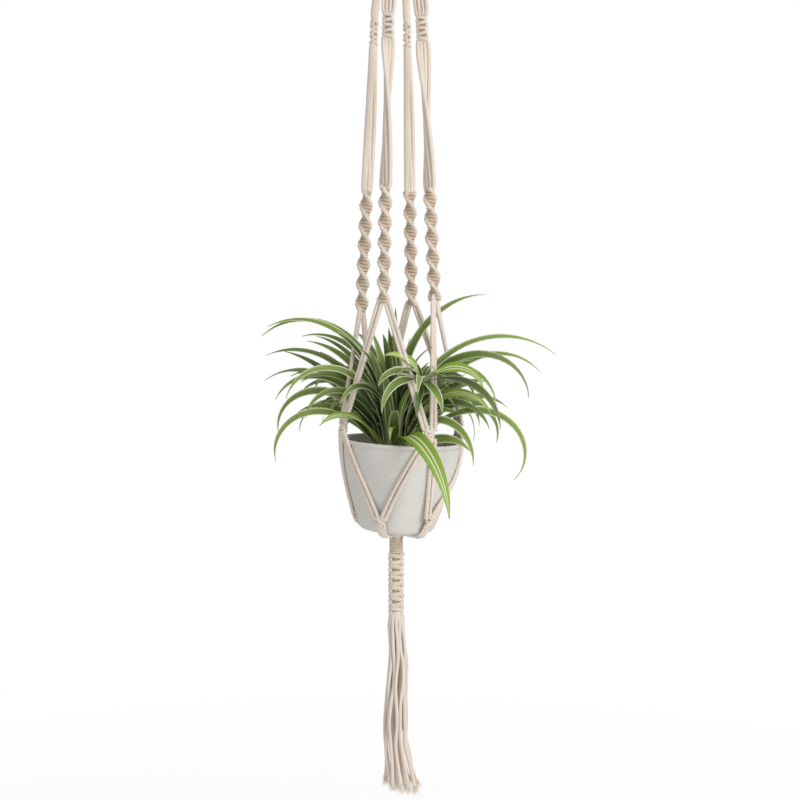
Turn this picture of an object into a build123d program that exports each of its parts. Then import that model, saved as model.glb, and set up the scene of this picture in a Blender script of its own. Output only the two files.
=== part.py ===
"""Hanging macrame planter: sixteen cotton cords knotted into four arms, a cradle, a tail and a tassel,
round a tilted pot with a spider plant. Millimetres, +Z up, origin at the inside top of the hanging ring,
front towards -Y, +X to the right. Azimuths are in degrees from +X, anticlockwise seen from above."""

import math
import os

from build123d import *

os.makedirs("parts", exist_ok=True)

# ---------------------------------------------------------------- driving dimensions, mm and degrees
cord_d = 4.0  # braided cotton cord
cord_gap = 0.4  # between cords lying side by side
pair_gap = 1.0  # between the two cords of a pair that slants
seat_gap = 0.3  # between a cord's flank and what it lies on
end_gap = 0.7  # between a cord's end and the knot that it runs into
slant_gap = 1.5  # the same, measured on the axis of a cord that slants
arm_azimuths = {"right": -21.0, "back": 69.0, "left": 159.0, "front": 249.0}

# Hanging ring
ring_inner_d = 40.0
ring_wire_d = 5.0

# Top: eight cords folded over the ring, then bound together
loop_rise = 20.0  # from the ring's lower bar down to the binding
top_wrap_length = 35.0
top_wrap_d = 23.0
wrap_turn_pitch = 4.4
wrap_groove = 0.9

# Four arms
square_top_z = -244.0
square_rows = 5
square_row_height = 5.7
square_width = 15.0
square_depth = 8.5
arm_radius_top = 28.3  # at the square sinnets
arm_radius_bottom = 44.5  # at the lower ends of the spiral sinnets
spiral_top_z = -435.0
spiral_bottom_z = {"right": -559.0, "back": -565.0, "left": -573.0, "front": -563.0}
half_knot_height = 4.2
half_knot_turn = 34.0  # each half knot on the one above it: a left-handed spiral
first_knot_turn = {"right": -19.0, "back": -38.0, "left": 12.0, "front": -63.0}  # on the ribbon above it
half_knot_width = 15.0
half_knot_depth = 8.6

# Pot, measured in its own tilted frame from the centre of its base
pot_base_x = -1.5
pot_base_z = -822.5
pot_tilt = 3.0
pot_height = 104.0
pot_rim_d = 138.6
pot_foot_d = 82.4  # where the wall would meet the base plane
pot_bulge = 3.6
pot_wall = 4.0
pot_lip = 2.6
pot_foot_round = 9.0
soil_depth_below_rim = 15.0

# Knots of the cradle, in the pot's frame
rim_knot_azimuths = {"front_left": 204.0, "front_right": 294.0, "back_right": 24.0, "back_left": 114.0}
rim_knot_rise = 13.0  # centre above the rim
base_knot_places = {"right": (-48.0, 18.0), "back": (69.0, 12.0), "left": (159.0, 11.0), "front": (249.0, 15.0)}
knot_width = 13.0
knot_depth = 9.0
knot_height = 12.0
knot_cross = 12.0  # turn of each half knot
cradle_step = 13.0  # turn between the points of a cord laid round the pot
cradle_slack = 0.6

# Gather below the pot, tail and tassel
gather_d = 24.0
gather_azimuths = {"right": -34.5, "back": 69.0, "left": 159.0, "front": 247.0}
gather_depth = 7.6
joint_ball_d = 16.5
tassel_ball_d = 15.0
joint_gap = 0.35
tail_wrap_length = 16.0
tail_knots = 6
tail_knot_pitch = 12.4
tail_width = 18.0
tail_depth = 15.0
tassel_head_length = 6.0
strand_ring_inner = 3.0  # four cords in the middle of the tassel, twelve round them
strand_ring_outer = 8.1

# Middle line of the tassel: how far it has swayed to the right and back at each point of its cords
tassel_sway = [(0.0, 0.0), (2.6, 0.8), (-0.4, -1.2), (-0.9, 0.6), (5.1, -0.8)]

# Free cords of the tassel: azimuth where each leaves the head, then the points that it runs through,
# as azimuth and distance from the tassel's middle line, and drop below the head
outer_strands = [
    (0, [(1, 9.4, 43), (-3, 11.4, 91), (2, 12.0, 138), (4, 17.5, 184)]),
    (30, [(29, 9.2, 42), (28, 10.8, 88), (33, 12.8, 134), (31, 16.6, 178)]),
    (60, [(60, 9.0, 44), (63, 11.2, 91), (61, 12.0, 139), (57, 14.8, 183)]),
    (90, [(91, 9.5, 42), (90, 10.6, 87), (94, 12.4, 132), (90, 15.6, 175)]),
    (120, [(121, 9.1, 43), (118, 11.3, 90), (122, 12.6, 136), (126, 14.6, 181)]),
    (150, [(149, 9.3, 42), (152, 10.9, 86), (149, 11.9, 130), (153, 15.8, 172)]),
    (180, [(180, 9.0, 43), (181, 11.0, 88), (184, 12.7, 134), (181, 16.4, 178)]),
    (210, [(211, 9.4, 42), (208, 10.7, 88), (212, 12.1, 135), (214, 15.2, 180)]),
    (240, [(239, 9.2, 44), (242, 11.3, 91), (240, 12.5, 137), (236, 16.2, 181)]),
    (270, [(271, 9.0, 43), (268, 10.8, 90), (273, 12.2, 137), (270, 14.9, 182)]),
    (300, [(299, 9.5, 42), (303, 11.1, 89), (299, 12.6, 137), (302, 17.0, 184)]),
    (330, [(331, 9.1, 44), (329, 11.2, 92), (333, 12.0, 140), (337, 17.8, 187)]),
]
inner_strands = [
    (45, [(48, 3.5, 43), (43, 4.4, 89), (52, 5.0, 136), (60, 7.0, 181)]),
    (135, [(132, 3.4, 42), (137, 4.2, 87), (130, 4.8, 133), (141, 6.4, 177)]),
    (225, [(228, 3.6, 43), (222, 4.5, 90), (231, 5.1, 137), (220, 6.8, 183)]),
    (315, [(312, 3.4, 43), (318, 4.3, 90), (310, 4.9, 138), (324, 7.4, 185)]),
]

# Spider plant
crown_x = -7.0
crown_radius = 20.0
crown_height = 9.0
leaf_thickness = 0.9
leaf_channel = 0.14  # depth of the channel as a share of the leaf's width
leaf_stations = 8
leaf_bend = 1.6  # how late the leaves arch over
leaf_seat = 0.5

# Each leaf: azimuth, root distance from the crown's middle, length, rise at the root, angle at the tip,
# widest width, turn of the azimuth from root to tip, and for some how late it arches over
leaves = {
    "leaves_left": [
        (189, 11, 244, 90, -46, 11, 8),
        (194, 13, 232, 88, -30, 10, 6),
        (150, 7, 192, 84, -18, 9, 10),
        (208, 15, 190, 84, -80, 10, -8),
        (164, 11, 162, 82, 10, 9, 0),
        (181, 15, 195, 76, -28, 10, 0),
        (180, 17, 178, 76, -70, 10, -8),
        (165, 16, 166, 62, 10, 9, 0),
        (208, 17, 150, 80, -85, 9, 0),
        (149, 16, 200, 58, -36, 11, 6),
        (180, 19, 178, 70, -104, 11, 0),
        (157, 18, 146, 62, -90, 9, 0),
        (194, 19, 172, 52, -112, 10, 0),
        (167, 19.5, 120, 58, -40, 9, 0),
        (223, 18, 112, 54, -40, 14, 0),
    ],
    "leaves_right": [
        (16, 6, 226, 94, -2, 10, 0),
        (-4, 13, 250, 88, -40, 10, 0, 1.2),
        (-8, 15.3, 232, 84, -92, 11, 10),
        (26, 11, 162, 82, -80, 9, 0),
        (-37, 15, 200, 86, -92, 10, 10),
        (-33, 18, 152, 72, -64, 13, 0),
        (-57, 12, 150, 92, -90, 12, 0),
        (7, 18, 158, 66, -112, 10, 0),
        (36, 17, 152, 62, -112, 10, 0),
        (-8, 18, 206, 50, -140, 11, 0),
        (16, 17, 224, 72, -50, 10, 0),
        (23, 19, 150, 58, -44, 9, -8),
        (-20, 19.5, 80, 36, -56, 11, 0),
    ],
    "leaves_front": [
        (-50, 16.5, 147, 55, -98, 10.5, 11.5, 1.4),
        (-80, 18.5, 185, 46, -88, 18, 34.5, 0.9),
        (-95, 17, 66, 76, -84, 8, 0),
        (228, 12, 136, 90, -75, 11, 0),
        (-88, 6, 158, 90, 72, 12, 0),
    ],
    "leaves_back": [
        (122, 14, 178, 86, -4, 10, -8),
        (118, 12, 148, 86, 40, 10, 0),
        (100, 8, 130, 86, 64, 9, 0),
        (62, 9, 126, 86, 62, 9, 0),
        (48, 15, 150, 72, -50, 9, 0),
        (90, 17, 140, 64, -66, 10, 0),
    ],
}

# ---------------------------------------------------------------- places worked out from them
ring_radius = (ring_inner_d + ring_wire_d) / 2
ring_bar_z = -ring_inner_d - ring_wire_d / 2
ring_turn = arm_azimuths["right"] + 45.0
cord_pitch = cord_d + cord_gap
pair_pitch = cord_d + pair_gap
top_wrap_top_z = ring_bar_z - loop_rise
top_wrap_bottom_z = top_wrap_top_z - top_wrap_length
square_bottom_z = square_top_z - square_rows * square_row_height
arm_slope = (arm_radius_bottom - arm_radius_top) / (square_top_z - spiral_bottom_z["front"])
pot_frame = Plane(
    origin=(pot_base_x, 0, pot_base_z),
    x_dir=(math.cos(math.radians(pot_tilt)), 0, -math.sin(math.radians(pot_tilt))),
    z_dir=(math.sin(math.radians(pot_tilt)), 0, math.cos(math.radians(pot_tilt))),
)
joint_socket_d = joint_ball_d + 2 * joint_gap
tail_ball_depth = seat_gap + 3.0 + joint_socket_d / 2  # of the tail's joint below the pot's base


def polar(radius, azimuth, z=0.0):
    """Point at a radius and azimuth about the vertical axis."""
    return Vector(radius * math.cos(math.radians(azimuth)), radius * math.sin(math.radians(azimuth)), z)


def arm_centre(azimuth, z):
    """Middle of an arm at a height: the arms spread evenly from the square sinnets down."""
    return polar(arm_radius_top + arm_slope * (square_top_z - z), azimuth, z)


def arc_radii(points):
    """Radius of the arc at each corner of a route, as large as its shorter run allows."""
    radii = []
    for before, at, after in zip(points, points[1:], points[2:]):
        half_turn = math.radians((at - before).get_angle(after - at)) / 2
        shorter = min((at - before).length, (after - at).length)
        radii.append(0.45 * shorter / math.tan(half_turn))
    return radii


def cord(points, diameter=cord_d):
    """Round cord along straight runs joined by tangent arcs."""
    points = [Vector(*point) for point in points]
    with BuildPart() as tube:
        with BuildLine():
            if len(points) == 2:
                Line(*points)
            else:
                FilletPolyline(*points, radius=arc_radii(points))
        with BuildSketch(Plane(origin=points[0], z_dir=points[1] - points[0])):
            Circle(diameter / 2)
        sweep()
    return tube.part


def knot_bar(plane, width, depth, height, edge):
    """One half knot: a blunt-ended bar of cord across the core, with its edges rounded off."""
    blunt = depth * 0.3
    with BuildPart() as bar:
        with BuildSketch(plane):
            with BuildLine():
                Polyline(
                    (width / 2, -blunt / 2),
                    (width / 2, blunt / 2),
                    (width * 0.3, depth / 2),
                    (-width * 0.3, depth / 2),
                    (-width / 2, blunt / 2),
                    (-width / 2, -blunt / 2),
                    (-width * 0.3, -depth / 2),
                    (width * 0.3, -depth / 2),
                    close=True,
                )
            make_face()
        extrude(amount=height)
        if edge:
            ends = bar.faces().sort_by(Axis(plane.origin, plane.z_dir))
            chamfer(ends[0].edges() + ends[-1].edges(), edge)
    return bar.part


def save(builder, name):
    """Label a finished sub-part and write its STEP file."""
    builder.part.label = name
    export_step(builder.part, f"parts/{name}.step")


def bound(top_z, length, diameter):
    """Half outline of a binding: turns of cord side by side round the bundle, from the axis outwards."""
    turns = round(length / wrap_turn_pitch)
    pitch = length / turns
    points = [(0, top_z)]
    for turn in range(turns):
        points.append((diameter / 2 - wrap_groove, top_z - turn * pitch))
        points.append((diameter / 2, top_z - (turn + 0.5) * pitch))
    points.append((diameter / 2 - wrap_groove, top_z - length))
    points.append((0, top_z - length))
    return points


# ---------------------------------------------------------------- hanging ring, in an upright plane
ring_centre = Vector(0, 0, -ring_inner_d / 2)
bar_way = polar(1, ring_turn)
swing_way = polar(1, ring_turn - 90)
with BuildPart() as hanging_ring:
    with BuildSketch(Plane(origin=ring_centre, x_dir=bar_way, z_dir=(0, 0, 1))):
        with Locations((ring_radius, 0)):
            Circle(ring_wire_d / 2)
    revolve(axis=Axis(ring_centre, swing_way))
save(hanging_ring, "hanging_ring")

# ---------------------------------------------------------------- cords folded over the ring, in two layers
folds = []
for layer in range(2):
    for place in (-1.5, -0.5, 0.5, 1.5):
        along = place * cord_pitch
        edge = abs(along) + cord_d / 2
        bar_rise = ring_radius - math.sqrt(ring_radius**2 - edge**2)
        fold_r = ring_wire_d / 2 + bar_rise + seat_gap + cord_d / 2 + layer * cord_pitch
        leg_end = (layer + 0.5) * cord_pitch
        corner = fold_r + (fold_r - leg_end) * fold_r / loop_rise
        ends_z = top_wrap_top_z + end_gap
        outline = [(-leg_end, ends_z), (-corner, ring_bar_z + fold_r), (corner, ring_bar_z + fold_r), (leg_end, ends_z)]
        points = [bar_way * along + swing_way * across + Vector(0, 0, z) for across, z in outline]
        with BuildPart() as fold:
            with BuildLine():
                FilletPolyline(*points, radius=fold_r * 0.9)
            with BuildSketch(Plane(origin=points[0], z_dir=points[1] - points[0])):
                Circle(cord_d / 2)
            sweep()
        folds.append(fold.part)
with BuildPart() as ring_loops:
    add(folds)
save(ring_loops, "ring_loops")

# ---------------------------------------------------------------- binding below the ring
with BuildPart() as top_wrap:
    with BuildSketch(Plane.XZ):
        with BuildLine():
            Polyline(*bound(top_wrap_top_z, top_wrap_length, top_wrap_d), close=True)
        make_face()
    revolve(axis=Axis.Z)
save(top_wrap, "top_wrap")


# ---------------------------------------------------------------- the four arms
def row_azimuth(arm):
    """Direction of the row in which an arm's four cords lie at the square sinnet."""
    return arm_azimuths["right"] if arm in ("right", "front") else arm_azimuths["back"]


def ribbon_twist(arm):
    """Turn of the ribbon of four cords between an arm's two sinnets."""
    return 140.0 if arm in ("right", "front") else -24.0


upper = []
for arm, azimuth in arm_azimuths.items():
    way = polar(1, azimuth)
    across = polar(1, azimuth + 90)
    row = polar(1, row_azimuth(arm))
    beside = row.rotate(Axis.Z, 90)
    square_top = arm_centre(azimuth, square_top_z)
    square_bottom = arm_centre(azimuth, square_bottom_z)
    spiral_top = arm_centre(azimuth, spiral_top_z)
    spiral_bottom = arm_centre(azimuth, spiral_bottom_z[arm])
    arm_way = (square_top - spiral_bottom).normalized()

    # Four cords from the binding, one from its middle and three from its edge, to a row
    exits = [
        polar(strand_ring_inner, azimuth, top_wrap_bottom_z - end_gap),
        polar(strand_ring_outer, azimuth, top_wrap_bottom_z - end_gap),
        polar(strand_ring_outer, azimuth + 30, top_wrap_bottom_z - end_gap),
        polar(strand_ring_outer, azimuth - 30, top_wrap_bottom_z - end_gap),
    ]
    if abs(row.dot(way)) > 0.5:
        places = [(-1.5, 0), (1.5, 0), (0.5, 0.6), (-0.5, -0.6)]
    else:
        places = [(-0.5, -0.6), (0.5, 0.6), (1.5, 0), (-1.5, 0)]
    along = way if abs(row.dot(way)) > 0.5 else across
    outward = across if abs(row.dot(way)) > 0.5 else way
    spread = (square_top + exits[1]) / 2
    for start, (place, step) in zip(exits, places):
        middle = spread + along * (place * cord_pitch) + outward * (step * cord_pitch)
        end = square_top + along * (place * cord_pitch) + arm_way * end_gap
        upper.append(cord([start, middle, end]))

    # Square-knot sinnet: a flat stack of square knots
    knots = []
    step = (square_top - square_bottom).length / square_rows
    for index in range(square_rows):
        plane = Plane(origin=square_bottom + arm_way * (index * step), x_dir=row, z_dir=arm_way)
        knots.append(knot_bar(plane, square_width, square_depth, step, step * 0.2))
    with BuildPart() as square_sinnet:
        add(knots)
    save(square_sinnet, f"square_sinnet_{arm}")

    # Ribbon of four cords side by side, twisted on its way down
    twist = ribbon_twist(arm)
    runs = max(1, math.ceil(abs(twist) / 36))
    top = square_bottom - arm_way * end_gap
    bottom = spiral_top + arm_way * end_gap
    ribbon = []
    for place in (-1.5, -0.5, 0.5, 1.5):
        points = []
        for run in range(runs + 1):
            turned = row.rotate(Axis.Z, twist * run / runs)
            points.append(top + (bottom - top) * (run / runs) + turned * (place * cord_pitch))
        ribbon.append(cord(points))
    with BuildPart() as long_cords:
        add(ribbon)
    save(long_cords, f"long_cords_{arm}")

    # Spiral sinnet: half knots, each turned against the last
    length = (spiral_top - spiral_bottom).length
    count = round(length / half_knot_height)
    bars = []
    for index in range(count):
        turned = row.rotate(Axis.Z, twist + first_knot_turn[arm] + half_knot_turn * (count - 1 - index))
        plane = Plane(origin=spiral_bottom + arm_way * (index * length / count), x_dir=turned, z_dir=arm_way)
        bars.append(knot_bar(plane, half_knot_width, half_knot_depth, length / count, 0))
    with BuildPart() as spiral_sinnet:
        add(bars)
    save(spiral_sinnet, f"spiral_sinnet_{arm}")

with BuildPart() as upper_cords:
    add(upper)
save(upper_cords, "upper_cords")


# ---------------------------------------------------------------- the pot, in its own tilted frame
def wall_radius(height):
    """Outer radius of the pot's wall at a height above its base."""
    share = height / pot_height
    return (pot_foot_d + (pot_rim_d - pot_foot_d) * share) / 2 + 4 * pot_bulge * share * (1 - share)


def wall_slope(height):
    """Outward lean of the wall at a height, as a rise in radius per millimetre."""
    return wall_radius(height + 0.5) - wall_radius(height - 0.5)


def in_pot(radius, azimuth, height, aside=0.0):
    """Point by radius, azimuth and height in the pot's frame, moved aside along the circle's tangent."""
    local = polar(radius, azimuth, height) + polar(aside, azimuth + 90)
    return pot_frame.from_local_coords(local)


def in_pot_way(azimuth, outward=1.0, up=0.0):
    """Unit direction at an azimuth in the pot's frame."""
    return in_pot(outward, azimuth, up) - in_pot(0, azimuth, 0)


def wall_outline(first, last, inset):
    """Arc of the wall between two heights, moved in by an amount."""
    middle = (first + last) / 2
    return [(wall_radius(height) - inset, height) for height in (first, middle, last)]


pot_section = Plane(origin=pot_frame.origin, x_dir=pot_frame.x_dir, z_dir=-pot_frame.y_dir)
pot_axis = Axis(pot_frame.origin, pot_frame.z_dir)
soil_height = pot_height - soil_depth_below_rim
with BuildPart() as pot:
    with BuildSketch(pot_section) as section:
        outer = wall_outline(0, pot_height, 0)
        inner = wall_outline(pot_wall, pot_height, pot_wall)
        lip = (pot_rim_d / 2 - pot_lip, pot_height)
        with BuildLine():
            Line((0, 0), outer[0])
            ThreePointArc(*outer)
            Line(outer[2], lip)
            ThreePointArc(lip, inner[1], inner[0])
            Line(inner[0], (0, pot_wall))
            Line((0, pot_wall), (0, 0))
        make_face()
        fillet(section.vertices().sort_by_distance(outer[0])[0], pot_foot_round)
        fillet(section.vertices().sort_by_distance(inner[0])[0], pot_foot_round - pot_wall)
    revolve(axis=pot_axis)
save(pot, "pot")

with BuildPart() as soil:
    with BuildSketch(pot_section) as section:
        side = wall_outline(pot_wall + seat_gap, soil_height, pot_wall + seat_gap * 2)
        with BuildLine():
            Line((0, pot_wall + seat_gap), side[0])
            ThreePointArc(*side)
            Line(side[2], (0, soil_height))
            Line((0, soil_height), (0, pot_wall + seat_gap))
        make_face()
        fillet(section.vertices().sort_by_distance(side[0])[0], pot_foot_round)
    revolve(axis=pot_axis)
save(soil, "soil")

# ---------------------------------------------------------------- branches from the arms to the rim knots
rim_knot_height = pot_height + rim_knot_rise
rim_knot_r = pot_rim_d / 2 + knot_depth / 2 - 1.5
across_pair = (-0.5, 0.5)
for arm, azimuth in arm_azimuths.items():
    across = polar(1, azimuth + 90)
    foot = arm_centre(azimuth, spiral_bottom_z[arm] - slant_gap)
    branches = []
    for side in (-1, 1):
        for place in across_pair:
            start = foot + across * ((side + place) * pair_pitch)
            end = in_pot(
                rim_knot_r,
                azimuth + side * 45.0,
                rim_knot_height + knot_height / 2 + slant_gap,
                (place - side) * pair_pitch,
            )
            branches.append(cord([start, end]))
    with BuildPart() as branch_cords:
        add(branches)
    save(branch_cords, f"branch_cords_{arm}")


def cradle_knot(radius, azimuth, height, lean):
    """Knot of four cords: two crossed half knots, flat against the pot."""
    outward = in_pot_way(azimuth)
    aside = in_pot_way(azimuth + 90)
    upright = (in_pot_way(azimuth, 0, 1) + outward * lean).normalized()
    middle = in_pot(radius, azimuth, height)
    halves = []
    for start, turn in ((-knot_height / 2, knot_cross), (0, -knot_cross)):
        plane = Plane(origin=middle + upright * start, x_dir=aside, z_dir=upright)
        plane = plane.rotated((0, 0, turn))
        halves.append(knot_bar(plane, knot_width, knot_depth, knot_height / 2, knot_height * 0.11))
    return halves


for name, azimuth in rim_knot_azimuths.items():
    with BuildPart() as rim_knot:
        add(cradle_knot(rim_knot_r, azimuth, rim_knot_height, 0))
    save(rim_knot, f"rim_knot_{name}")

# ---------------------------------------------------------------- cradle cords down the pot's wall
base_knot_seat = knot_depth / 2 + knot_width * 0.3 * math.sin(math.radians(knot_cross)) + seat_gap
for name, (azimuth, height) in base_knot_places.items():
    with BuildPart() as base_knot:
        add(cradle_knot(wall_radius(height) + base_knot_seat, azimuth, height, wall_slope(height)))
    save(base_knot, f"base_knot_{name}")


def turn_between(start, end):
    """Signed turn from one azimuth to another, the short way round."""
    return (end - start + 180) % 360 - 180


def cradle_pair(rim_azimuth, base_azimuth, base_height):
    """Two cords side by side from a rim knot, over the rim and down the wall to a base knot."""
    turn = turn_between(rim_azimuth, base_azimuth)
    side = math.copysign(1, turn)
    top_h = rim_knot_height - knot_height / 2 - slant_gap
    lean = wall_slope(base_height)
    upright = math.cos(math.atan(lean))
    end_h = base_height + (knot_height / 2 + slant_gap) * upright
    end_r = wall_radius(base_height) + base_knot_seat + (knot_height / 2 + slant_gap) * lean * upright
    start_azimuth = rim_azimuth + math.degrees(side * pair_pitch / rim_knot_r)
    end_azimuth = base_azimuth - math.degrees(side * pair_pitch / end_r)
    turn = turn_between(start_azimuth, end_azimuth)
    steps = max(3, math.ceil(abs(turn) / cradle_step))
    lift = (cord_d / 2 + seat_gap + cradle_slack) / math.cos(math.radians(turn / steps / 2))
    middles = []
    for step in range(steps + 1):
        share = step / steps
        height = top_h + (end_h - top_h) * share
        if step == 0:
            radius = rim_knot_r + 0.8
        elif step == steps:
            radius = end_r
        else:
            radius = wall_radius(min(height, pot_height)) + lift
        middles.append((radius, start_azimuth + turn * share, height))
    places = [in_pot(*middle) for middle in middles]
    pair = []
    for place in across_pair:
        points = []
        for step, (radius, azimuth, height) in enumerate(middles):
            outward = (in_pot_way(azimuth) - in_pot_way(azimuth, 0, 1) * wall_slope(height)).normalized()
            run = places[min(step + 1, steps)] - places[max(step - 1, 0)]
            beside = outward.cross(run).normalized()
            if step in (0, steps):
                beside = (beside + in_pot_way(azimuth + 90)).normalized()
            points.append(places[step] + beside * (place * pair_pitch))
        pair.append(cord(points))
    return pair


base_knot_of = {
    "front_left": ("left", "front"),
    "front_right": ("front", "right"),
    "back_right": ("right", "back"),
    "back_left": ("back", "left"),
}
for name, bases in base_knot_of.items():
    pairs = []
    for base in bases:
        pairs += cradle_pair(rim_knot_azimuths[name], *base_knot_places[base])
    with BuildPart() as cradle_cords:
        add(pairs)
    save(cradle_cords, f"cradle_cords_{name}")

# ---------------------------------------------------------------- cords under the pot to the gather
lean_in = wall_slope(0)
corner_angle = math.atan(lean_in)
corner_r = pot_foot_d / 2 - pot_foot_round * math.tan((math.pi / 2 - corner_angle) / 2)
wrap_r = pot_foot_round + cord_d / 2 + seat_gap
under_h = -cord_d / 2 - seat_gap - 0.1
gather_edge_r = gather_d / 2 + seat_gap
gather_share = math.degrees((cord_d + 0.2) / gather_edge_r)
under = []
for name, (azimuth, height) in base_knot_places.items():
    lean = wall_slope(height)
    upright = math.cos(math.atan(lean))
    start_h = height - (knot_height / 2 + slant_gap) * upright
    start_r = wall_radius(height) + base_knot_seat - (knot_height / 2 + slant_gap) * lean * upright
    reach = wrap_r / math.cos(math.radians(17))
    shoulder = [(corner_r + reach * math.cos(math.radians(a)), pot_foot_round - reach * math.sin(math.radians(a)))
                for a in (39, 73)]
    for place in (-1.5, -0.5, 0.5, 1.5):
        aside = place * cord_pitch
        points = [in_pot(start_r, azimuth, start_h, aside)]
        if start_h > shoulder[0][1] + cord_d:
            points.append(in_pot(shoulder[0][0], azimuth, shoulder[0][1], aside))
        points.append(in_pot(shoulder[1][0], azimuth, under_h, aside))
        end_azimuth = gather_azimuths[name] + place * gather_share
        points.append(in_pot(gather_edge_r + cord_d, end_azimuth, under_h))
        points.append(in_pot(gather_edge_r, end_azimuth, under_h - 0.1))
        under.append(cord(points))
with BuildPart() as base_cords:
    add(under)
save(base_cords, "base_cords")

# ---------------------------------------------------------------- gather, with the socket that the tail swings in
tail_pivot = pot_frame.from_local_coords(Vector(0, 0, -tail_ball_depth))
with BuildPart() as base_gather:
    with BuildSketch(pot_section) as section:
        with BuildLine():
            Polyline(
                (0, -seat_gap),
                (gather_d / 2, -seat_gap),
                (gather_d / 2, -gather_depth),
                (gather_d / 2 - 1, -gather_depth - seat_gap),
                (0, -gather_depth - seat_gap),
                close=True,
            )
        make_face()
        with Locations((0, -tail_ball_depth)):
            Circle(joint_socket_d / 2, mode=Mode.SUBTRACT)
        split(bisect_by=Plane.YZ, keep=Keep.TOP)
    revolve(axis=pot_axis)
save(base_gather, "base_gather")

# ---------------------------------------------------------------- tail: domed binding and chunky square-knot sinnet
upright_section = Plane(origin=(tail_pivot.X, 0, 0), x_dir=(1, 0, 0), z_dir=(0, -1, 0))
tail_axis = Axis((tail_pivot.X, 0, 0), (0, 0, 1))
tail_wrap_bottom_z = tail_pivot.Z - tail_wrap_length


def domed(ball_r, pivot_z, lower):
    """Half outline of a piece whose domed top turns about a pivot, with the rest of its outline given."""
    with BuildLine() as outline:
        RadiusArc((0, pivot_z + ball_r), (ball_r, pivot_z), ball_r)
        Polyline((ball_r, pivot_z), *lower, (0, pivot_z + ball_r))
    return outline.line


with BuildPart() as tail_wrap:
    with BuildSketch(upright_section):
        add(domed(joint_ball_d / 2, tail_pivot.Z, bound(tail_pivot.Z, tail_wrap_length, joint_ball_d)[2:]))
        make_face()
    revolve(axis=tail_axis)
save(tail_wrap, "tail_wrap")

tail_bottom_z = tail_wrap_bottom_z - tail_knots * tail_knot_pitch
tassel_socket_r = tassel_ball_d / 2 + joint_gap
tassel_pivot_z = tail_bottom_z - tassel_socket_r / 2
bars = []
for knot in range(2 * tail_knots):
    bottom_z = tail_bottom_z + knot * tail_knot_pitch / 2
    width = tail_width - 1.5 * (knot % 2)
    plane = Plane(origin=(tail_pivot.X, 0, bottom_z), x_dir=(1, 0, 0))
    bars.append(knot_bar(plane, width, tail_depth, tail_knot_pitch / 2, tail_knot_pitch * 0.11))
with BuildPart() as tail_sinnet:
    add(bars)
    with Locations((tail_pivot.X, 0, tassel_pivot_z)):
        Sphere(tassel_socket_r, mode=Mode.SUBTRACT)
save(tail_sinnet, "tail_sinnet")

# ---------------------------------------------------------------- tassel: the bundle's head and sixteen free ends
tassel_head_bottom_z = tassel_pivot_z - tassel_head_length
bundle_r = strand_ring_outer + cord_d / 2
with BuildPart() as tassel_head:
    with BuildSketch(upright_section):
        add(
            domed(
                tassel_ball_d / 2,
                tassel_pivot_z,
                [(bundle_r, tassel_head_bottom_z + 1.5), (bundle_r, tassel_head_bottom_z), (0, tassel_head_bottom_z)],
            )
        )
        make_face()
    revolve(axis=tail_axis)
save(tassel_head, "tassel_head")


def strand_route(ring, start_azimuth, points):
    """Points of a free cord, from the underside of the tassel's head to its end."""
    head_z = tassel_head_bottom_z - seat_gap
    route = [polar(ring, start_azimuth, head_z)]
    for (sway_x, sway_y), (azimuth, reach, drop) in zip(tassel_sway[1:], points):
        route.append(polar(reach, azimuth, head_z - drop) + Vector(sway_x, sway_y, 0))
    return [point + Vector(tail_pivot.X, 0, 0) for point in route]


routes = [strand_route(strand_ring_outer, *strand) for strand in outer_strands]
routes += [strand_route(strand_ring_inner, *strand) for strand in inner_strands]
for number, route in enumerate(routes, start=1):
    name = f"tassel_strand_{number:02d}"
    runs = [(end - start).length for start, end in zip(route, route[1:])]
    print(name, "length", round(sum(runs)), "radii", [round(radius) for radius in arc_radii(route)])
    with BuildPart() as strand:
        add(cord(route))
    save(strand, name)


# ---------------------------------------------------------------- spider plant
crown_dome_r = (crown_radius**2 + crown_height**2) / (2 * crown_height)
crown_base = pot_frame.from_local_coords(Vector(crown_x, 0, soil_height))
with BuildPart() as crown:
    with BuildSketch(Plane(origin=crown_base, x_dir=pot_frame.x_dir, z_dir=-pot_frame.y_dir)):
        with BuildLine():
            RadiusArc((0, crown_height), (crown_radius, 0), crown_dome_r)
            Polyline((crown_radius, 0), (0, 0), (0, crown_height))
        make_face()
    revolve(axis=Axis(crown_base, pot_frame.z_dir))
save(crown, "crown")


def crown_top(root):
    """Height of the crown above the soil at a distance from its middle."""
    return math.sqrt(crown_dome_r**2 - root**2) - crown_dome_r + crown_height


def leaf_path(azimuth, root, length, rise, tip, sway, bend):
    """Middle line of a leaf that rises from the crown and arches over: points, unit tangents and sides."""
    local = Vector(crown_x, 0, soil_height + crown_top(root) + leaf_seat) + polar(root, azimuth)
    point = pot_frame.from_local_coords(local)
    steps = (leaf_stations - 1) * 4
    path = []
    for step in range(steps + 1):
        share = step / steps
        angle = math.radians(rise + (tip - rise) * share**bend)
        heading = azimuth + sway * share
        way = polar(math.cos(angle), heading, math.sin(angle))
        if step % 4 == 0:
            path.append((point, way, polar(1, heading + 90)))
        point += way * (length / steps)
    return path


def leaf_width(share, width):
    """Width of a leaf along its length: narrow at the root, widest at a third, tapering to the tip."""
    return width * max(min(1.0, 0.32 + 1.8 * share) * (1 - share**2.2), 0.08)


def flat_face(*corners):
    """Flat face between corners."""
    return Face(Wire.make_polygon(corners, close=True))


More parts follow.
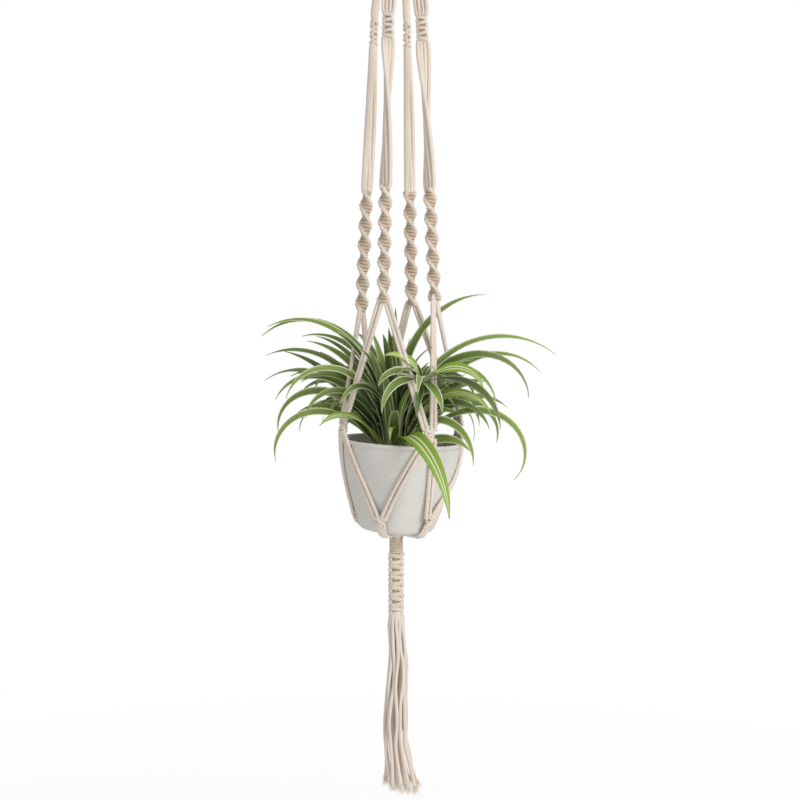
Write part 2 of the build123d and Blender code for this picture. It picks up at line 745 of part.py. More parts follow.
def leaf(azimuth, root, length, rise, tip, width, sway, bend=leaf_bend):
    """Thin channelled blade of flat facets, folded along its middle and thinnest at its margins."""
    rings = []
    for station, (point, way, side) in enumerate(leaf_path(azimuth, root, length, rise, tip, sway, bend)):
        across = leaf_width(station / (leaf_stations - 1), width)
        margin = across * leaf_channel
        upward = way.cross(side)
        section = [
            (-across / 2, margin),
            (0, -leaf_thickness / 2),
            (across / 2, margin),
            (0, leaf_thickness / 2),
        ]
        rings.append([point + side * x + upward * y for x, y in section])
    facets = [flat_face(*reversed(rings[0])), flat_face(*rings[-1])]
    for ring, following in zip(rings, rings[1:]):
        for corner in range(4):
            facets.append(flat_face(ring[corner - 1], ring[corner], following[corner]))
            facets.append(flat_face(ring[corner - 1], following[corner], following[corner - 1]))
    return Solid(Shell(facets))


for name, rows in leaves.items():
    with BuildPart() as leaf_group:
        add([leaf(*row) for row in rows])
    save(leaf_group, name)
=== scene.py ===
"""Hanging macrame planter: knotted cotton cord, combed stoneware pot, spider plant, bound tail and tassel.
Every size below is in millimetres and degrees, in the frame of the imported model, unless it says otherwise."""

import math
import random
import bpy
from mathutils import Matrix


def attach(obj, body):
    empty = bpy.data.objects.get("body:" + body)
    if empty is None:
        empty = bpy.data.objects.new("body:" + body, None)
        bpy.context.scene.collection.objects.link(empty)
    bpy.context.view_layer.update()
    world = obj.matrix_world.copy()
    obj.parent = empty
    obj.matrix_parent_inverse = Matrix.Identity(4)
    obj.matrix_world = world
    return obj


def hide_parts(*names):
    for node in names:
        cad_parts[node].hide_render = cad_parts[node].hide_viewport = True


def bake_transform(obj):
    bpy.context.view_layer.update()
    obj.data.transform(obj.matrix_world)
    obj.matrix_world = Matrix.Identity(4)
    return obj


bl_info = {
    "name": "Macrame planter",
    "version": (1, 0, 0),
    "blender": (4, 5, 0),
    "location": "3D View > Sidebar > Planter",
    "description": "Builds the cord, knots, pot, soil, plant and tassel of a hanging planter on its frame",
    "category": "Object",
}

import bmesh
import bpy
from bpy.props import FloatProperty, FloatVectorProperty, IntProperty, PointerProperty
from mathutils import Matrix, Quaternion, Vector

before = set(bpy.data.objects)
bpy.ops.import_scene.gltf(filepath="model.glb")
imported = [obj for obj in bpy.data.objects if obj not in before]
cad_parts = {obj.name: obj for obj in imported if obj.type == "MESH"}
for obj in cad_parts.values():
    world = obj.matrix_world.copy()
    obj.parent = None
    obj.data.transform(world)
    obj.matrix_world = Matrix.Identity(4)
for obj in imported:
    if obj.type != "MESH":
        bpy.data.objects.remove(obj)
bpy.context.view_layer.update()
MM = 0.001

# ---------------------------------------------------------------- sizes of the frame that the pieces follow
cord_d = 4.0
cord_pitch = 4.4
pair_pitch = 5.0
seat_gap = 0.3
slant_gap = 1.5
# the arms stand at a quarter turn from one another, named for where they hang
arm_azimuths = {"right": -21.0, "back": 69.0, "left": 159.0, "front": 249.0}
two_abreast = (-0.5, 0.5)  # places across a pair of cords, in pitches
four_abreast = (-1.5, -0.5, 0.5, 1.5)
turn_points = 14  # points to a turn of a binding

# how thick the soft cord is where it hangs easy, and where a tie draws it tight
easy_cord_d = 4.3
ribbon_cord_d = 4.6
branch_cord_d = 4.4
core_cord_d = 3.0
square_tie_d = 3.9
base_tie_d = 3.6
double_cord_d = 5.5  # cords laid double in the tail
tail_wrap_cord_d = 2.6

ring_bar_z = -42.5  # the ring's lower bar, which the cords fold over
ring_radius = 22.5
ring_wire_d = 5.0
ring_turn = 24.0  # azimuth of the plane that the ring stands in
top_wrap_top_z = -62.5
top_wrap_length = 35.0
top_wrap_d = 23.0

square_top_z = -244.0
square_rows = 5
square_row_height = 5.7
square_width = 15.0
square_depth = 8.5
arm_radius_top = 28.3
arm_slope = 16.2 / 319.0
spiral_top_z = -435.0
spiral_bottom_z = {"right": -559.0, "back": -565.0, "left": -573.0, "front": -563.0}
half_knot_height = 4.2
half_knot_turn = 34.0
half_knot_width = 15.0
# a ribbon between two sinnets: its twist, how much sooner it takes it, and its cords' slack and standing out
twisted_ribbon = (140.0, 1.18, 0.2, 1.5)
plain_ribbon = (-24.0, 1.0, 0.55, 0.9)
twisted_arms = ("right", "front")
twist_pace = {"right": 0.62, "back": 1.0, "left": 1.0, "front": 0.45}  # how early each ribbon takes its twist
# how far the first half knot is turned on the ribbon above it
first_knot_turn = {"right": -19.0, "back": -38.0, "left": 12.0, "front": -63.0}
half_knot_depth = 8.6
knot_swell = 0.7  # soft cord swells past the flat faces of the half knots

pot_base = Vector((-1.5, 0.0, -822.5))  # middle of the pot's foot
pot_tilt = 3.0
pot_height = 104.0
pot_rim_d = 138.6
pot_foot_d = 82.4
pot_bulge = 3.6
pot_wall = 4.0
pot_foot_round = 9.0
soil_height = 89.0

rim_knot_azimuths = {"front_left": 204.0, "front_right": 294.0, "back_right": 24.0, "back_left": 114.0}
rim_knot_height = 117.0
# each base knot's azimuth and height on the wall
base_knot_places = {
    "right": (-48.0, 18.0),
    "back": (69.0, 12.0),
    "left": (159.0, 11.0),
    "front": (249.0, 15.0),
}
base_knots_of = {
    "front_left": ("left", "front"),
    "front_right": ("front", "right"),
    "back_right": ("right", "back"),
    "back_left": ("back", "left"),
}
knot_width = 13.0
knot_depth = 9.0
knot_height = 12.0
cradle_step = 13.0  # most degrees round the pot from one point of a net cord to the next

gather_r = 12.3  # of the ring that the net's cords make under the pot
gather_azimuths = {"right": -34.5, "back": 69.0, "left": 159.0, "front": 247.0}
tail_x = -2.12
tail_middle = Vector((tail_x, 0, 0))
tail_pivot_z = -834.4
tail_wrap_bottom_z = -850.4
tail_wrap_d = 16.5
tail_knots = 6
tail_knot_pitch = 12.4
tail_bottom_z = -924.8
tail_width = 18.0
tail_depth = 15.0
tassel_top_z = -935.0
strand_ring_inner = 3.0
strand_ring_outer = 8.1
strand_wave = 1.7  # how far a limp strand strays to either side

# how far the tassel as a whole drifts at each point down its strands
tassel_sway = [(2.6, 0.8), (-0.4, -1.2), (-0.9, 0.6), (5.1, -0.8)]
# each strand: its azimuth in the head, then its points as azimuth, reach and drop below the head
outer_strands = [
    (0, [(1, 9.4, 43), (-3, 11.4, 91), (2, 12.0, 138), (4, 17.5, 184)]),
    (30, [(29, 9.2, 42), (28, 10.8, 88), (33, 12.8, 134), (31, 16.6, 178)]),
    (60, [(60, 9.0, 44), (63, 11.2, 91), (61, 12.0, 139), (57, 14.8, 183)]),
    (90, [(91, 9.5, 42), (90, 10.6, 87), (94, 12.4, 132), (90, 15.6, 175)]),
    (120, [(121, 9.1, 43), (118, 11.3, 90), (122, 12.6, 136), (126, 14.6, 181)]),
    (150, [(149, 9.3, 42), (152, 10.9, 86), (149, 11.9, 130), (153, 15.8, 172)]),
    (180, [(180, 9.0, 43), (181, 11.0, 88), (184, 12.7, 134), (181, 16.4, 178)]),
    (210, [(211, 9.4, 42), (208, 10.7, 88), (212, 12.1, 135), (214, 15.2, 180)]),
    (240, [(239, 9.2, 44), (242, 11.3, 91), (240, 12.5, 137), (236, 16.2, 181)]),
    (270, [(271, 9.0, 43), (268, 10.8, 90), (273, 12.2, 137), (270, 14.9, 182)]),
    (300, [(299, 9.5, 42), (303, 11.1, 89), (299, 12.6, 137), (302, 17.0, 184)]),
    (330, [(331, 9.1, 44), (329, 11.2, 92), (333, 12.0, 140), (337, 17.8, 187)]),
]
inner_strands = [
    (45, [(48, 3.5, 43), (43, 4.4, 89), (52, 5.0, 136), (60, 7.0, 181)]),
    (135, [(132, 3.4, 42), (137, 4.2, 87), (130, 4.8, 133), (141, 6.4, 177)]),
    (225, [(228, 3.6, 43), (222, 4.5, 90), (231, 5.1, 137), (220, 6.8, 183)]),
    (315, [(312, 3.4, 43), (318, 4.3, 90), (310, 4.9, 138), (324, 7.4, 185)]),
]

crown_x = -7.0
crown_radius = 20.0
crown_height = 9.0
leaf_channel = 0.14
leaf_steps = 28
leaf_bend = 1.6
leaf_seat = 0.5
leaf_roll = 52.0  # leaves to either side roll as they arch, as heavy blades do
leaf_fullness = 1.22  # living blades swell a little past the straight facets of the solids

# each leaf: azimuth, root distance, length, rise, tip angle, width, sway, and for some how late it arches
leaves = {
    "leaves_left": [
        (189, 11, 244, 90, -46, 11, 8),
        (194, 13, 232, 88, -30, 10, 6),
        (150, 7, 192, 84, -18, 9, 10),
        (208, 15, 190, 84, -80, 10, -8),
        (164, 11, 162, 82, 10, 9, 0),
        (181, 15, 195, 76, -28, 10, 0),
        (180, 17, 178, 76, -70, 10, -8),
        (165, 16, 166, 62, 10, 9, 0),
        (208, 17, 150, 80, -85, 9, 0),
        (149, 16, 200, 58, -36, 11, 6),
        (180, 19, 178, 70, -104, 11, 0),
        (157, 18, 146, 62, -90, 9, 0),
        (194, 19, 172, 52, -112, 10, 0),
        (167, 19.5, 120, 58, -40, 9, 0),
        (223, 18, 112, 54, -40, 14, 0),
    ],
    "leaves_right": [
        (16, 6, 226, 94, -2, 10, 0),
        (-4, 13, 250, 88, -40, 10, 0, 1.2),
        (-8, 15.3, 232, 84, -92, 11, 10),
        (26, 11, 162, 82, -80, 9, 0),
        (-37, 15, 200, 86, -92, 10, 10),
        (-33, 18, 152, 72, -64, 13, 0),
        (-57, 12, 150, 92, -90, 12, 0),
        (7, 18, 158, 66, -112, 10, 0),
        (36, 17, 152, 62, -112, 10, 0),
        (-8, 18, 206, 50, -140, 11, 0),
        (16, 17, 224, 72, -50, 10, 0),
        (23, 19, 150, 58, -44, 9, -8),
        (-20, 19.5, 80, 36, -56, 11, 0),
    ],
    "leaves_front": [
        (-50, 16.5, 147, 55, -98, 10.5, 11.5, 1.4),
        (-80, 18.5, 185, 46, -88, 18, 34.5, 0.9),
        (-95, 17, 66, 76, -84, 8, 0),
        (228, 12, 136, 90, -75, 11, 0),
        (-88, 6, 158, 90, 72, 12, 0),
    ],
    "leaves_back": [
        (122, 14, 178, 86, -4, 10, -8),
        (118, 12, 148, 86, 40, 10, 0),
        (100, 8, 130, 86, 64, 9, 0),
        (62, 9, 126, 86, 62, 9, 0),
        (48, 15, 150, 72, -50, 9, 0),
        (90, 17, 140, 64, -66, 10, 0),
    ],
}
# which leaves of each group are old and pale, and which are young and bright with a cream middle
pale_leaves = {"leaves_left": (6, 12), "leaves_right": (1, 9), "leaves_front": (0,), "leaves_back": ()}
bright_leaves = {"leaves_left": (14,), "leaves_right": (5, 6), "leaves_front": (1, 2), "leaves_back": ()}
# the offset's first leaves, which hang between two branch pairs
offset_leaves = (
    (190, 0, 60, 66, -25, 10, 0),
    (-20, 0, 84, 38, -82, 11, 0),
    (-60, 0, 54, -10, -85, 9, 0),
    (250, 0, 44, -40, -95, 8, 0),
    (-38, 0, 128, 12, -88, 9.5, 0),
    (204, 0, 66, 38, -82, 9, 0),
    (228, 0, 86, 14, -92, 9.5, 0),
    (262, 0, 60, 30, -88, 8, 0),
)


# ---------------------------------------------------------------- places
def polar(radius, azimuth, z=0.0):
    """Point at a radius and azimuth about the vertical axis."""
    return Vector((radius * math.cos(math.radians(azimuth)), radius * math.sin(math.radians(azimuth)), z))


def turned(vector, axis, degrees):
    """A vector turned about an axis."""
    return Quaternion(axis, math.radians(degrees)) @ vector


def arm_centre(azimuth, z):
    """Middle of an arm at a height."""
    return polar(arm_radius_top + arm_slope * (square_top_z - z), azimuth, z)


pot_matrix = Matrix.Translation(pot_base) @ Matrix.Rotation(math.radians(pot_tilt), 4, "Y")


def in_pot(radius, azimuth, height, aside=0.0):
    """Point in the pot's own tilted frame, moved aside along the rim's direction."""
    return pot_matrix @ (polar(radius, azimuth, height) + polar(aside, azimuth + 90))


def in_pot_way(azimuth, outward=1.0, up=0.0):
    """Direction in the pot's own frame."""
    return in_pot(outward, azimuth, up) - in_pot(0, azimuth, 0)


def wall_radius(height):
    """Outer radius of the pot's wall."""
    share = height / pot_height
    return (pot_foot_d + (pot_rim_d - pot_foot_d) * share) / 2 + 4 * pot_bulge * share * (1 - share)


def wall_slope(height):
    """Change of the wall's radius with height."""
    share = height / pot_height
    return ((pot_rim_d - pot_foot_d) / 2 + 4 * pot_bulge * (1 - 2 * share)) / pot_height


# where the flat underside of the pot ends and its rounded foot begins
foot_flat_r = pot_foot_d / 2 - pot_foot_round * math.tan((math.pi / 2 - math.atan(wall_slope(0))) / 2)


def knot_frame(origin, across, upright):
    """Matrix of a knot's own frame: x across it, z up, and its face towards -y."""
    facing = upright.cross(across)
    return Matrix.Translation(origin) @ Matrix((across, facing, upright)).transposed().to_4x4()


# ---------------------------------------------------------------- node and mesh helpers
def linear(code):
    """Linear colour of an sRGB hex value, with its alpha."""
    channels = [int(code[i : i + 2], 16) / 255 for i in (0, 2, 4)]
    return (*(c / 12.92 if c <= 0.04045 else ((c + 0.055) / 1.055) ** 2.4 for c in channels), 1.0)


def feed(tree, node, inputs):
    """Gives inputs, by name or in order, values or links: a node stands for its first live output."""
    for key, value in inputs.items() if isinstance(inputs, dict) else enumerate(inputs):
        named = isinstance(key, str)
        socket = next(s for s in node.inputs if s.name == key and s.enabled) if named else node.inputs[key]
        for source in value if isinstance(value, list) else [value]:
            if isinstance(source, bpy.types.Node):
                source = next(s for s in source.outputs if s.enabled)
            if isinstance(source, bpy.types.NodeSocket):
                tree.links.new(source, socket)
            else:
                socket.default_value = source


def add_node(tree, kind, inputs=(), **settings):
    """Adds a node with its settings, values and links."""
    node = tree.nodes.new(kind)
    for name, value in settings.items():
        setattr(node, name, value)
    feed(tree, node, inputs)
    return node


def new_tree(name, sockets):
    """Geometry Nodes tree with named inputs, a material and one geometry output: the tree and its inputs."""
    tree = bpy.data.node_groups.new(name, "GeometryNodeTree")
    for label, kind, default in (*sockets, ("Material", "Material", None)):
        socket = tree.interface.new_socket(label, in_out="INPUT", socket_type="NodeSocket" + kind)
        if default is not None:
            socket.default_value = default
    tree.interface.new_socket("Geometry", in_out="OUTPUT", socket_type="NodeSocketGeometry")
    return tree, add_node(tree, "NodeGroupInput").outputs


def finish_tree(tree, geometry, material):
    """Ends a tree in Realize Instances and Set Material."""
    real = add_node(tree, "GeometryNodeRealizeInstances", {"Geometry": geometry})
    painted = add_node(tree, "GeometryNodeSetMaterial", {"Geometry": real, "Material": material})
    add_node(tree, "NodeGroupOutput", {"Geometry": painted})
    return tree


def plain_mesh(host):
    """Plain mesh of an object as its modifiers shape it; the object goes."""
    depsgraph = bpy.context.evaluated_depsgraph_get()
    shaped = host.evaluated_get(depsgraph)
    mesh = bpy.data.meshes.new_from_object(shaped, preserve_all_data_layers=True, depsgraph=depsgraph)
    bpy.data.objects.remove(host)
    return mesh


def grown(name, tree, inputs, start=None, place=None):
    """Plain mesh from a Geometry Nodes tree, run on an empty or a given mesh."""
    host = bpy.data.objects.new(name, start or bpy.data.meshes.new(name))
    bpy.context.scene.collection.objects.link(host)
    modifier = host.modifiers.new("Shape", "NODES")
    modifier.node_group = tree
    for label, value in inputs.items():
        modifier[tree.interface.items_tree[label].identifier] = value
    mesh = plain_mesh(host)
    if place is not None:
        mesh.transform(place)
    return mesh


def piece(name, mesh, body, slot, *nodes):
    """Object of a finished mesh that rides on a body and stands for CAD nodes."""
    mesh.name = name
    made = bpy.data.objects.new(name, mesh)
    bpy.context.scene.collection.objects.link(made)
    if body:
        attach(made, body)
    if nodes:
        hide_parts(*nodes)
    return made


def mesh_of(points, faces, material):
    """Smooth mesh from points in millimetres and faces."""
    mesh = bpy.data.meshes.new("shape")
    mesh.from_pydata([point * MM for point in points], [], faces)
    mesh.materials.append(material)
    mesh.polygons.foreach_set("use_smooth", [True] * len(faces))
    mesh.update()
    return mesh


def joined(*meshes):
    """One mesh from several of one material."""
    whole = bmesh.new()
    for mesh in meshes:
        whole.from_mesh(mesh)
    result = bpy.data.meshes.new("joined")
    result.materials.append(meshes[0].materials[0])
    whole.to_mesh(result)
    whole.free()
    return result


# ---------------------------------------------------------------- materials
def material_with(name, finish):
    """New node material with its plain values: itself, its tree and its shader."""
    material = bpy.data.materials.new(name)
    material.use_nodes = True
    tree = material.node_tree
    shader = tree.nodes["Principled BSDF"]
    feed(tree, shader, finish)
    return material, tree, shader


def braided_cotton(context):
    """Undyed cotton cord, braided: matt and faintly fuzzy, with fine crossing plies, painted shade in their
    grooves, and painted shade where knots hide it.
    """
    if "braided_cotton" in bpy.data.materials:
        return bpy.data.materials["braided_cotton"]
    cord = context.scene.planter_cord
    finish = {"Roughness": 0.95, "Specular IOR Level": 0.2, "Sheen Weight": 0.15, "Sheen Roughness": 0.6}
    material, tree, shader = material_with("braided_cotton", finish)
    along = add_node(tree, "ShaderNodeAttribute", attribute_name="along").outputs["Fac"]
    ring = add_node(tree, "ShaderNodeAttribute", attribute_name="ring").outputs["Vector"]
    sides = add_node(tree, "ShaderNodeSeparateXYZ", (ring,)).outputs
    angle = add_node(tree, "ShaderNodeMath", (sides["Y"], sides["X"]), operation="ARCTAN2")
    # plies: their slant round the cord, one full crossing to each braid pitch
    around = add_node(tree, "ShaderNodeMath", (angle, 1.5), operation="MULTIPLY")
    run = add_node(tree, "ShaderNodeMath", (along, math.pi / cord.braid_pitch), operation="MULTIPLY")
    plies = []
    for sign in ("ADD", "SUBTRACT"):
        phase = add_node(tree, "ShaderNodeMath", (run, around), operation=sign)
        wave = add_node(tree, "ShaderNodeMath", (phase,), operation="SINE")
        plies.append(add_node(tree, "ShaderNodeMath", (wave,), operation="ABSOLUTE"))
    braid = add_node(tree, "ShaderNodeMath", plies, operation="MAXIMUM")
    # painted shade: the grooves between the plies are drawn darker
    grooves = add_node(tree, "ShaderNodeMapRange", (braid, 0.55, 0.95, 0.8, 1.0))
    # stray fibres 1.1 mm apart, coarse enough to show, and patches of tone 29 mm across
    place = add_node(tree, "ShaderNodeTexCoord").outputs["Object"]
    fibres = add_node(tree, "ShaderNodeTexNoise", {"Vector": place, "Scale": 0.9 / MM, "Detail": 3.0})
    patches = add_node(tree, "ShaderNodeTexNoise", {"Vector": place, "Scale": 0.035 / MM, "Detail": 2.0})
    tones = {"Factor": patches, "A": cord.shade_colour, "B": cord.light_colour}
    tone = add_node(tree, "ShaderNodeMix", tones, data_type="RGBA")
    plied = {"Factor": 1.0, "A": tone, "B": grooves}
    colour = add_node(tree, "ShaderNodeMix", plied, data_type="RGBA", blend_type="MULTIPLY")
    # painted shade: where a knot hides the cord, or its cords cross the face, the colour is mixed towards a
    # browner tone
    deep = add_node(tree, "ShaderNodeAttribute", attribute_name="deep").outputs["Fac"]
    shaded = add_node(tree, "ShaderNodeMapRange", (deep, 0.0, 1.0, 0.0, 0.7))
    shade_mix = {"Factor": shaded, "A": colour, "B": cord.painted_shade_colour}
    shaded_colour = add_node(tree, "ShaderNodeMix", shade_mix, data_type="RGBA")
    height = add_node(tree, "ShaderNodeMath", (fibres, 0.2, braid), operation="MULTIPLY_ADD")
    bump = add_node(tree, "ShaderNodeBump", {"Height": height, "Strength": 0.8, "Distance": 0.35 * MM})
    feed(tree, shader, {"Base Color": shaded_colour, "Normal": bump})
    return material


def loose_cotton():
    """Loose cotton fibre at a cut end: paler and softer than the cord, since light gets through it."""
    if "loose_cotton" in bpy.data.materials:
        return bpy.data.materials["loose_cotton"]
    material, tree, shader = material_with("loose_cotton", {"Roughness": 1.0, "Specular IOR Level": 0.1})
    place = add_node(tree, "ShaderNodeTexCoord").outputs["Object"]
    wisps = add_node(tree, "ShaderNodeTexNoise", {"Vector": place, "Scale": 0.5 / MM})  # wisps 2 mm apart
    ramp = add_node(tree, "ShaderNodeValToRGB", {"Fac": wisps})
    for stop, code in zip(ramp.color_ramp.elements, ("EFE3D3", "FBF5EC")):
        stop.color = linear(code)
    feed(tree, shader, {"Base Color": ramp})
    return material


def satin_steel():
    """Plain steel wire with a satin finish: soft streaky highlights."""
    material, tree, shader = material_with("satin_steel", {"Metallic": 1.0, "Base Color": linear("B9B7B2")})
    place = add_node(tree, "ShaderNodeTexCoord").outputs["Object"]
    # rubbed streaks 1.4 mm apart
    streaks = add_node(tree, "ShaderNodeTexNoise", {"Vector": place, "Scale": 0.7 / MM, "Detail": 2.0})
    rough = add_node(tree, "ShaderNodeMapRange", (streaks, 0.0, 1.0, 0.25, 0.42))
    feed(tree, shader, {"Roughness": rough})
    return material


def combed_stoneware(context):
    """Matt off-white stoneware, combed while wet: slanting ribs that catch the light, and a dusty surface."""
    pot = context.scene.planter_pot
    material, tree, shader = material_with("combed_stoneware", {"Roughness": 0.7, "Specular IOR Level": 0.3})
    place = add_node(tree, "ShaderNodeTexCoord").outputs["Object"]
    stance = {"Vector": place, "Location": pot_base * MM, "Rotation": (0, math.radians(pot_tilt), 0)}
    upright = add_node(tree, "ShaderNodeMapping", stance, vector_type="TEXTURE")
    axes = add_node(tree, "ShaderNodeSeparateXYZ", (upright,)).outputs
    angle = add_node(tree, "ShaderNodeMath", (axes["Y"], axes["X"]), operation="ARCTAN2")
    climb = (pot_rim_d + pot_foot_d) / 4 * MM * math.tan(math.radians(pot.rib_slant))
    slanted = add_node(tree, "ShaderNodeMath", (angle, -climb, axes["Z"]), operation="MULTIPLY_ADD")
    # the comb wanders up to 5 mm over 45 mm, as a hand does
    wander = add_node(tree, "ShaderNodeTexNoise", {"Vector": upright, "Scale": 0.022 / MM, "Detail": 1.0})
    bent = add_node(tree, "ShaderNodeMath", (wander, 5 * MM, slanted), operation="MULTIPLY_ADD")
    wave = add_node(tree, "ShaderNodeMath", (bent, 2 * math.pi / pot.rib_spacing), operation="MULTIPLY")
    ribs = add_node(tree, "ShaderNodeMath", (wave,), operation="SINE")
    # grit of 1.7 mm, coarse enough to show, and clouds of tone 33 mm across
    grit = add_node(tree, "ShaderNodeTexNoise", {"Vector": place, "Scale": 0.6 / MM, "Detail": 4.0})
    clouds = add_node(tree, "ShaderNodeTexNoise", {"Vector": place, "Scale": 0.03 / MM, "Detail": 4.0})
    tones = {"Factor": clouds, "A": linear("D2CFC8"), "B": linear("E6E3DC")}
    tone = add_node(tree, "ShaderNodeMix", tones, data_type="RGBA")
    shade = add_node(tree, "ShaderNodeMapRange", (ribs, -1.0, 1.0, 0.95, 1.0))
    ribbed = {"Factor": 1.0, "A": tone, "B": shade}
    colour = add_node(tree, "ShaderNodeMix", ribbed, data_type="RGBA", blend_type="MULTIPLY")
    height = add_node(tree, "ShaderNodeMath", (grit, 0.5, ribs), operation="MULTIPLY_ADD")
    bump = add_node(tree, "ShaderNodeBump", {"Height": height, "Strength": 0.5, "Distance": 0.25 * MM})
    feed(tree, shader, {"Base Color": colour, "Normal": bump})
    return material


def potting_soil():
    """Damp potting soil: near black crumbs with brown bark and a few pale grains."""
    material, tree, shader = material_with("potting_soil", {"Roughness": 1.0, "Specular IOR Level": 0.1})
    place = add_node(tree, "ShaderNodeTexCoord").outputs["Object"]
    # crumbs 2.9 mm across
    crumbs = add_node(tree, "ShaderNodeTexVoronoi", {"Vector": place, "Scale": 0.35 / MM}).outputs
    ramp = add_node(tree, "ShaderNodeValToRGB", {"Fac": crumbs["Color"]})
    for stop, code in zip(ramp.color_ramp.elements, ("17120D", "6B5743")):
        stop.color = linear(code)
    ramp.color_ramp.elements[0].position = 0.35
    relief = {"Height": crumbs["Distance"], "Strength": 1.0, "Distance": 1.0 * MM}
    bump = add_node(tree, "ShaderNodeBump", relief)
    feed(tree, shader, {"Base Color": ramp, "Normal": bump})
    return material


def spider_leaf(context):
    """Living spider plant leaf: waxy green with long fine veins, cream margins, a paler root, and painted light
    that pales it towards the tip.
    """
    if "spider_leaf" in bpy.data.materials:
        return bpy.data.materials["spider_leaf"]
    plant = context.scene.planter_plant
    material, tree, shader = material_with("spider_leaf", {"Roughness": 0.5, "Specular IOR Level": 0.25})
    blade = add_node(tree, "ShaderNodeUVMap", uv_map="blade")
    across, along = add_node(tree, "ShaderNodeSeparateXYZ", (blade,)).outputs[:2]
    tone = add_node(tree, "ShaderNodeAttribute", attribute_name="tone").outputs["Fac"]
    bright = add_node(tree, "ShaderNodeAttribute", attribute_name="bright").outputs["Fac"]
    centred = add_node(tree, "ShaderNodeMath", (across, 0.5), operation="SUBTRACT")
    side = add_node(tree, "ShaderNodeMath", (centred,), operation="ABSOLUTE")
    # veins: fine lines along the blade, 13 to its width, drawn coarse enough to show
    stretched = add_node(tree, "ShaderNodeCombineXYZ", {"X": across, "Z": tone})
    veins = add_node(tree, "ShaderNodeTexNoise", {"Vector": stretched, "Scale": 13.0, "Detail": 2.0})
    veining = add_node(tree, "ShaderNodeMath", (tone, 0.45, 0.12), operation="MULTIPLY_ADD")
    vein_share = add_node(tree, "ShaderNodeMapRange", (veins, 0.42, 0.62, 0.0, veining))
    # cream: both margins on most leaves, the middle on the broad fresh ones
    edge = add_node(tree, "ShaderNodeMapRange", (side, 0.37, 0.41, 0.0, 1.0))
    paleness = add_node(tree, "ShaderNodeMapRange", (tone, 0.12, 0.5, 0.3, 1.0))
    margin = add_node(tree, "ShaderNodeMath", (edge, paleness), operation="MULTIPLY")
    off = add_node(tree, "ShaderNodeMath", (side, 0.13), operation="SUBTRACT")
    away = add_node(tree, "ShaderNodeMath", (off,), operation="ABSOLUTE")
    middle = add_node(tree, "ShaderNodeMapRange", (away, 0.055, 0.03, 0.0, 1.0))
    cream = add_node(tree, "ShaderNodeMix", {"Factor": bright, "A": margin, "B": middle}, data_type="FLOAT")
    # crowded roots are pale, and painted light pales the blades towards the end, standing for thin tips that
    # let light through
    root = add_node(tree, "ShaderNodeMapRange", (along, 0.16, 0.0, 0.0, 0.6))
    thin = add_node(tree, "ShaderNodeMapRange", (along, 0.35, 1.0, 0.0, 0.34))
    colour = plant.dark_green
    for share, tint in (
        (tone, plant.light_green),
        (vein_share, linear("93AF58")),
        (bright, linear("85A53A")),
        (cream, plant.cream),
        (root, linear("DDE3B8")),
        (thin, linear("B5C77C")),
    ):
        colour = add_node(tree, "ShaderNodeMix", {"Factor": share, "A": colour, "B": tint}, data_type="RGBA")
    bump = add_node(tree, "ShaderNodeBump", {"Height": veins, "Strength": 0.5, "Distance": 0.3 * MM})
    feed(tree, shader, {"Base Color": colour, "Normal": bump})
    return material


def leaf_bases():
    """Crowded leaf bases of the crown: pale green sheaths with painted shade in the gaps between them."""
    if "leaf_bases" in bpy.data.materials:
        return bpy.data.materials["leaf_bases"]
    material, tree, shader = material_with("leaf_bases", {"Roughness": 0.6})
    place = add_node(tree, "ShaderNodeTexCoord").outputs["Object"]
    sheaths = add_node(tree, "ShaderNodeTexVoronoi", {"Vector": place, "Scale": 0.22 / MM})  # 4.5 mm across
    # painted shade: the ramp runs from pale green in the middle of each sheath to near black in the gaps at its
    # edges
    ramp = add_node(tree, "ShaderNodeValToRGB", {"Fac": sheaths})
    for stop, code in zip(ramp.color_ramp.elements, ("9DAA5E", "1E2410")):
        stop.color = linear(code)
    feed(tree, shader, {"Base Color": ramp})
    return material


# ---------------------------------------------------------------- Geometry Nodes trees
def cord_tree():
    """Cord along a path: a round section swept along every spline of a curve object."""
    if "Cord along a path" in bpy.data.node_groups:
        return bpy.data.node_groups["Cord along a path"]
    sizes = (("Diameter", "Float", 0.004), ("Sides", "Int", 10), ("Step", "Float", 0.0016))
    tree, given = new_tree("Cord along a path", (("Path", "Object", None), *sizes))
    path = add_node(tree, "GeometryNodeObjectInfo", {"Object": given["Path"]})
    return sweep_nodes(tree, given, path.outputs["Geometry"])


def sweep_nodes(tree, given, curve):
    """Sweeps the cord's section along a curve, and keeps the run along it and the way round it."""
    spaced = {"Curve": curve, "Length": given["Step"]}
    even = add_node(tree, "GeometryNodeResampleCurve", spaced, mode="LENGTH")
    run = add_node(tree, "GeometryNodeSplineParameter").outputs["Length"]
    kept = {"Geometry": even, "Name": "along", "Value": run}
    along = add_node(tree, "GeometryNodeStoreNamedAttribute", kept, data_type="FLOAT", domain="POINT")
    radius = add_node(tree, "ShaderNodeMath", (given["Diameter"], 0.5), operation="MULTIPLY")
    section = {"Resolution": given["Sides"], "Radius": radius}
    circle = add_node(tree, "GeometryNodeCurvePrimitiveCircle", section, mode="RADIUS")
    kept = {"Geometry": circle, "Name": "ring", "Value": add_node(tree, "GeometryNodeInputPosition")}
    ring = add_node(tree, "GeometryNodeStoreNamedAttribute", kept, data_type="FLOAT_VECTOR", domain="POINT")
    braided = {"Curve": along, "Profile Curve": ring, "Fill Caps": True}
    swept = add_node(tree, "GeometryNodeCurveToMesh", braided)
    smooth = add_node(tree, "GeometryNodeSetShadeSmooth", {"Geometry": swept})
    return finish_tree(tree, smooth, given["Material"])


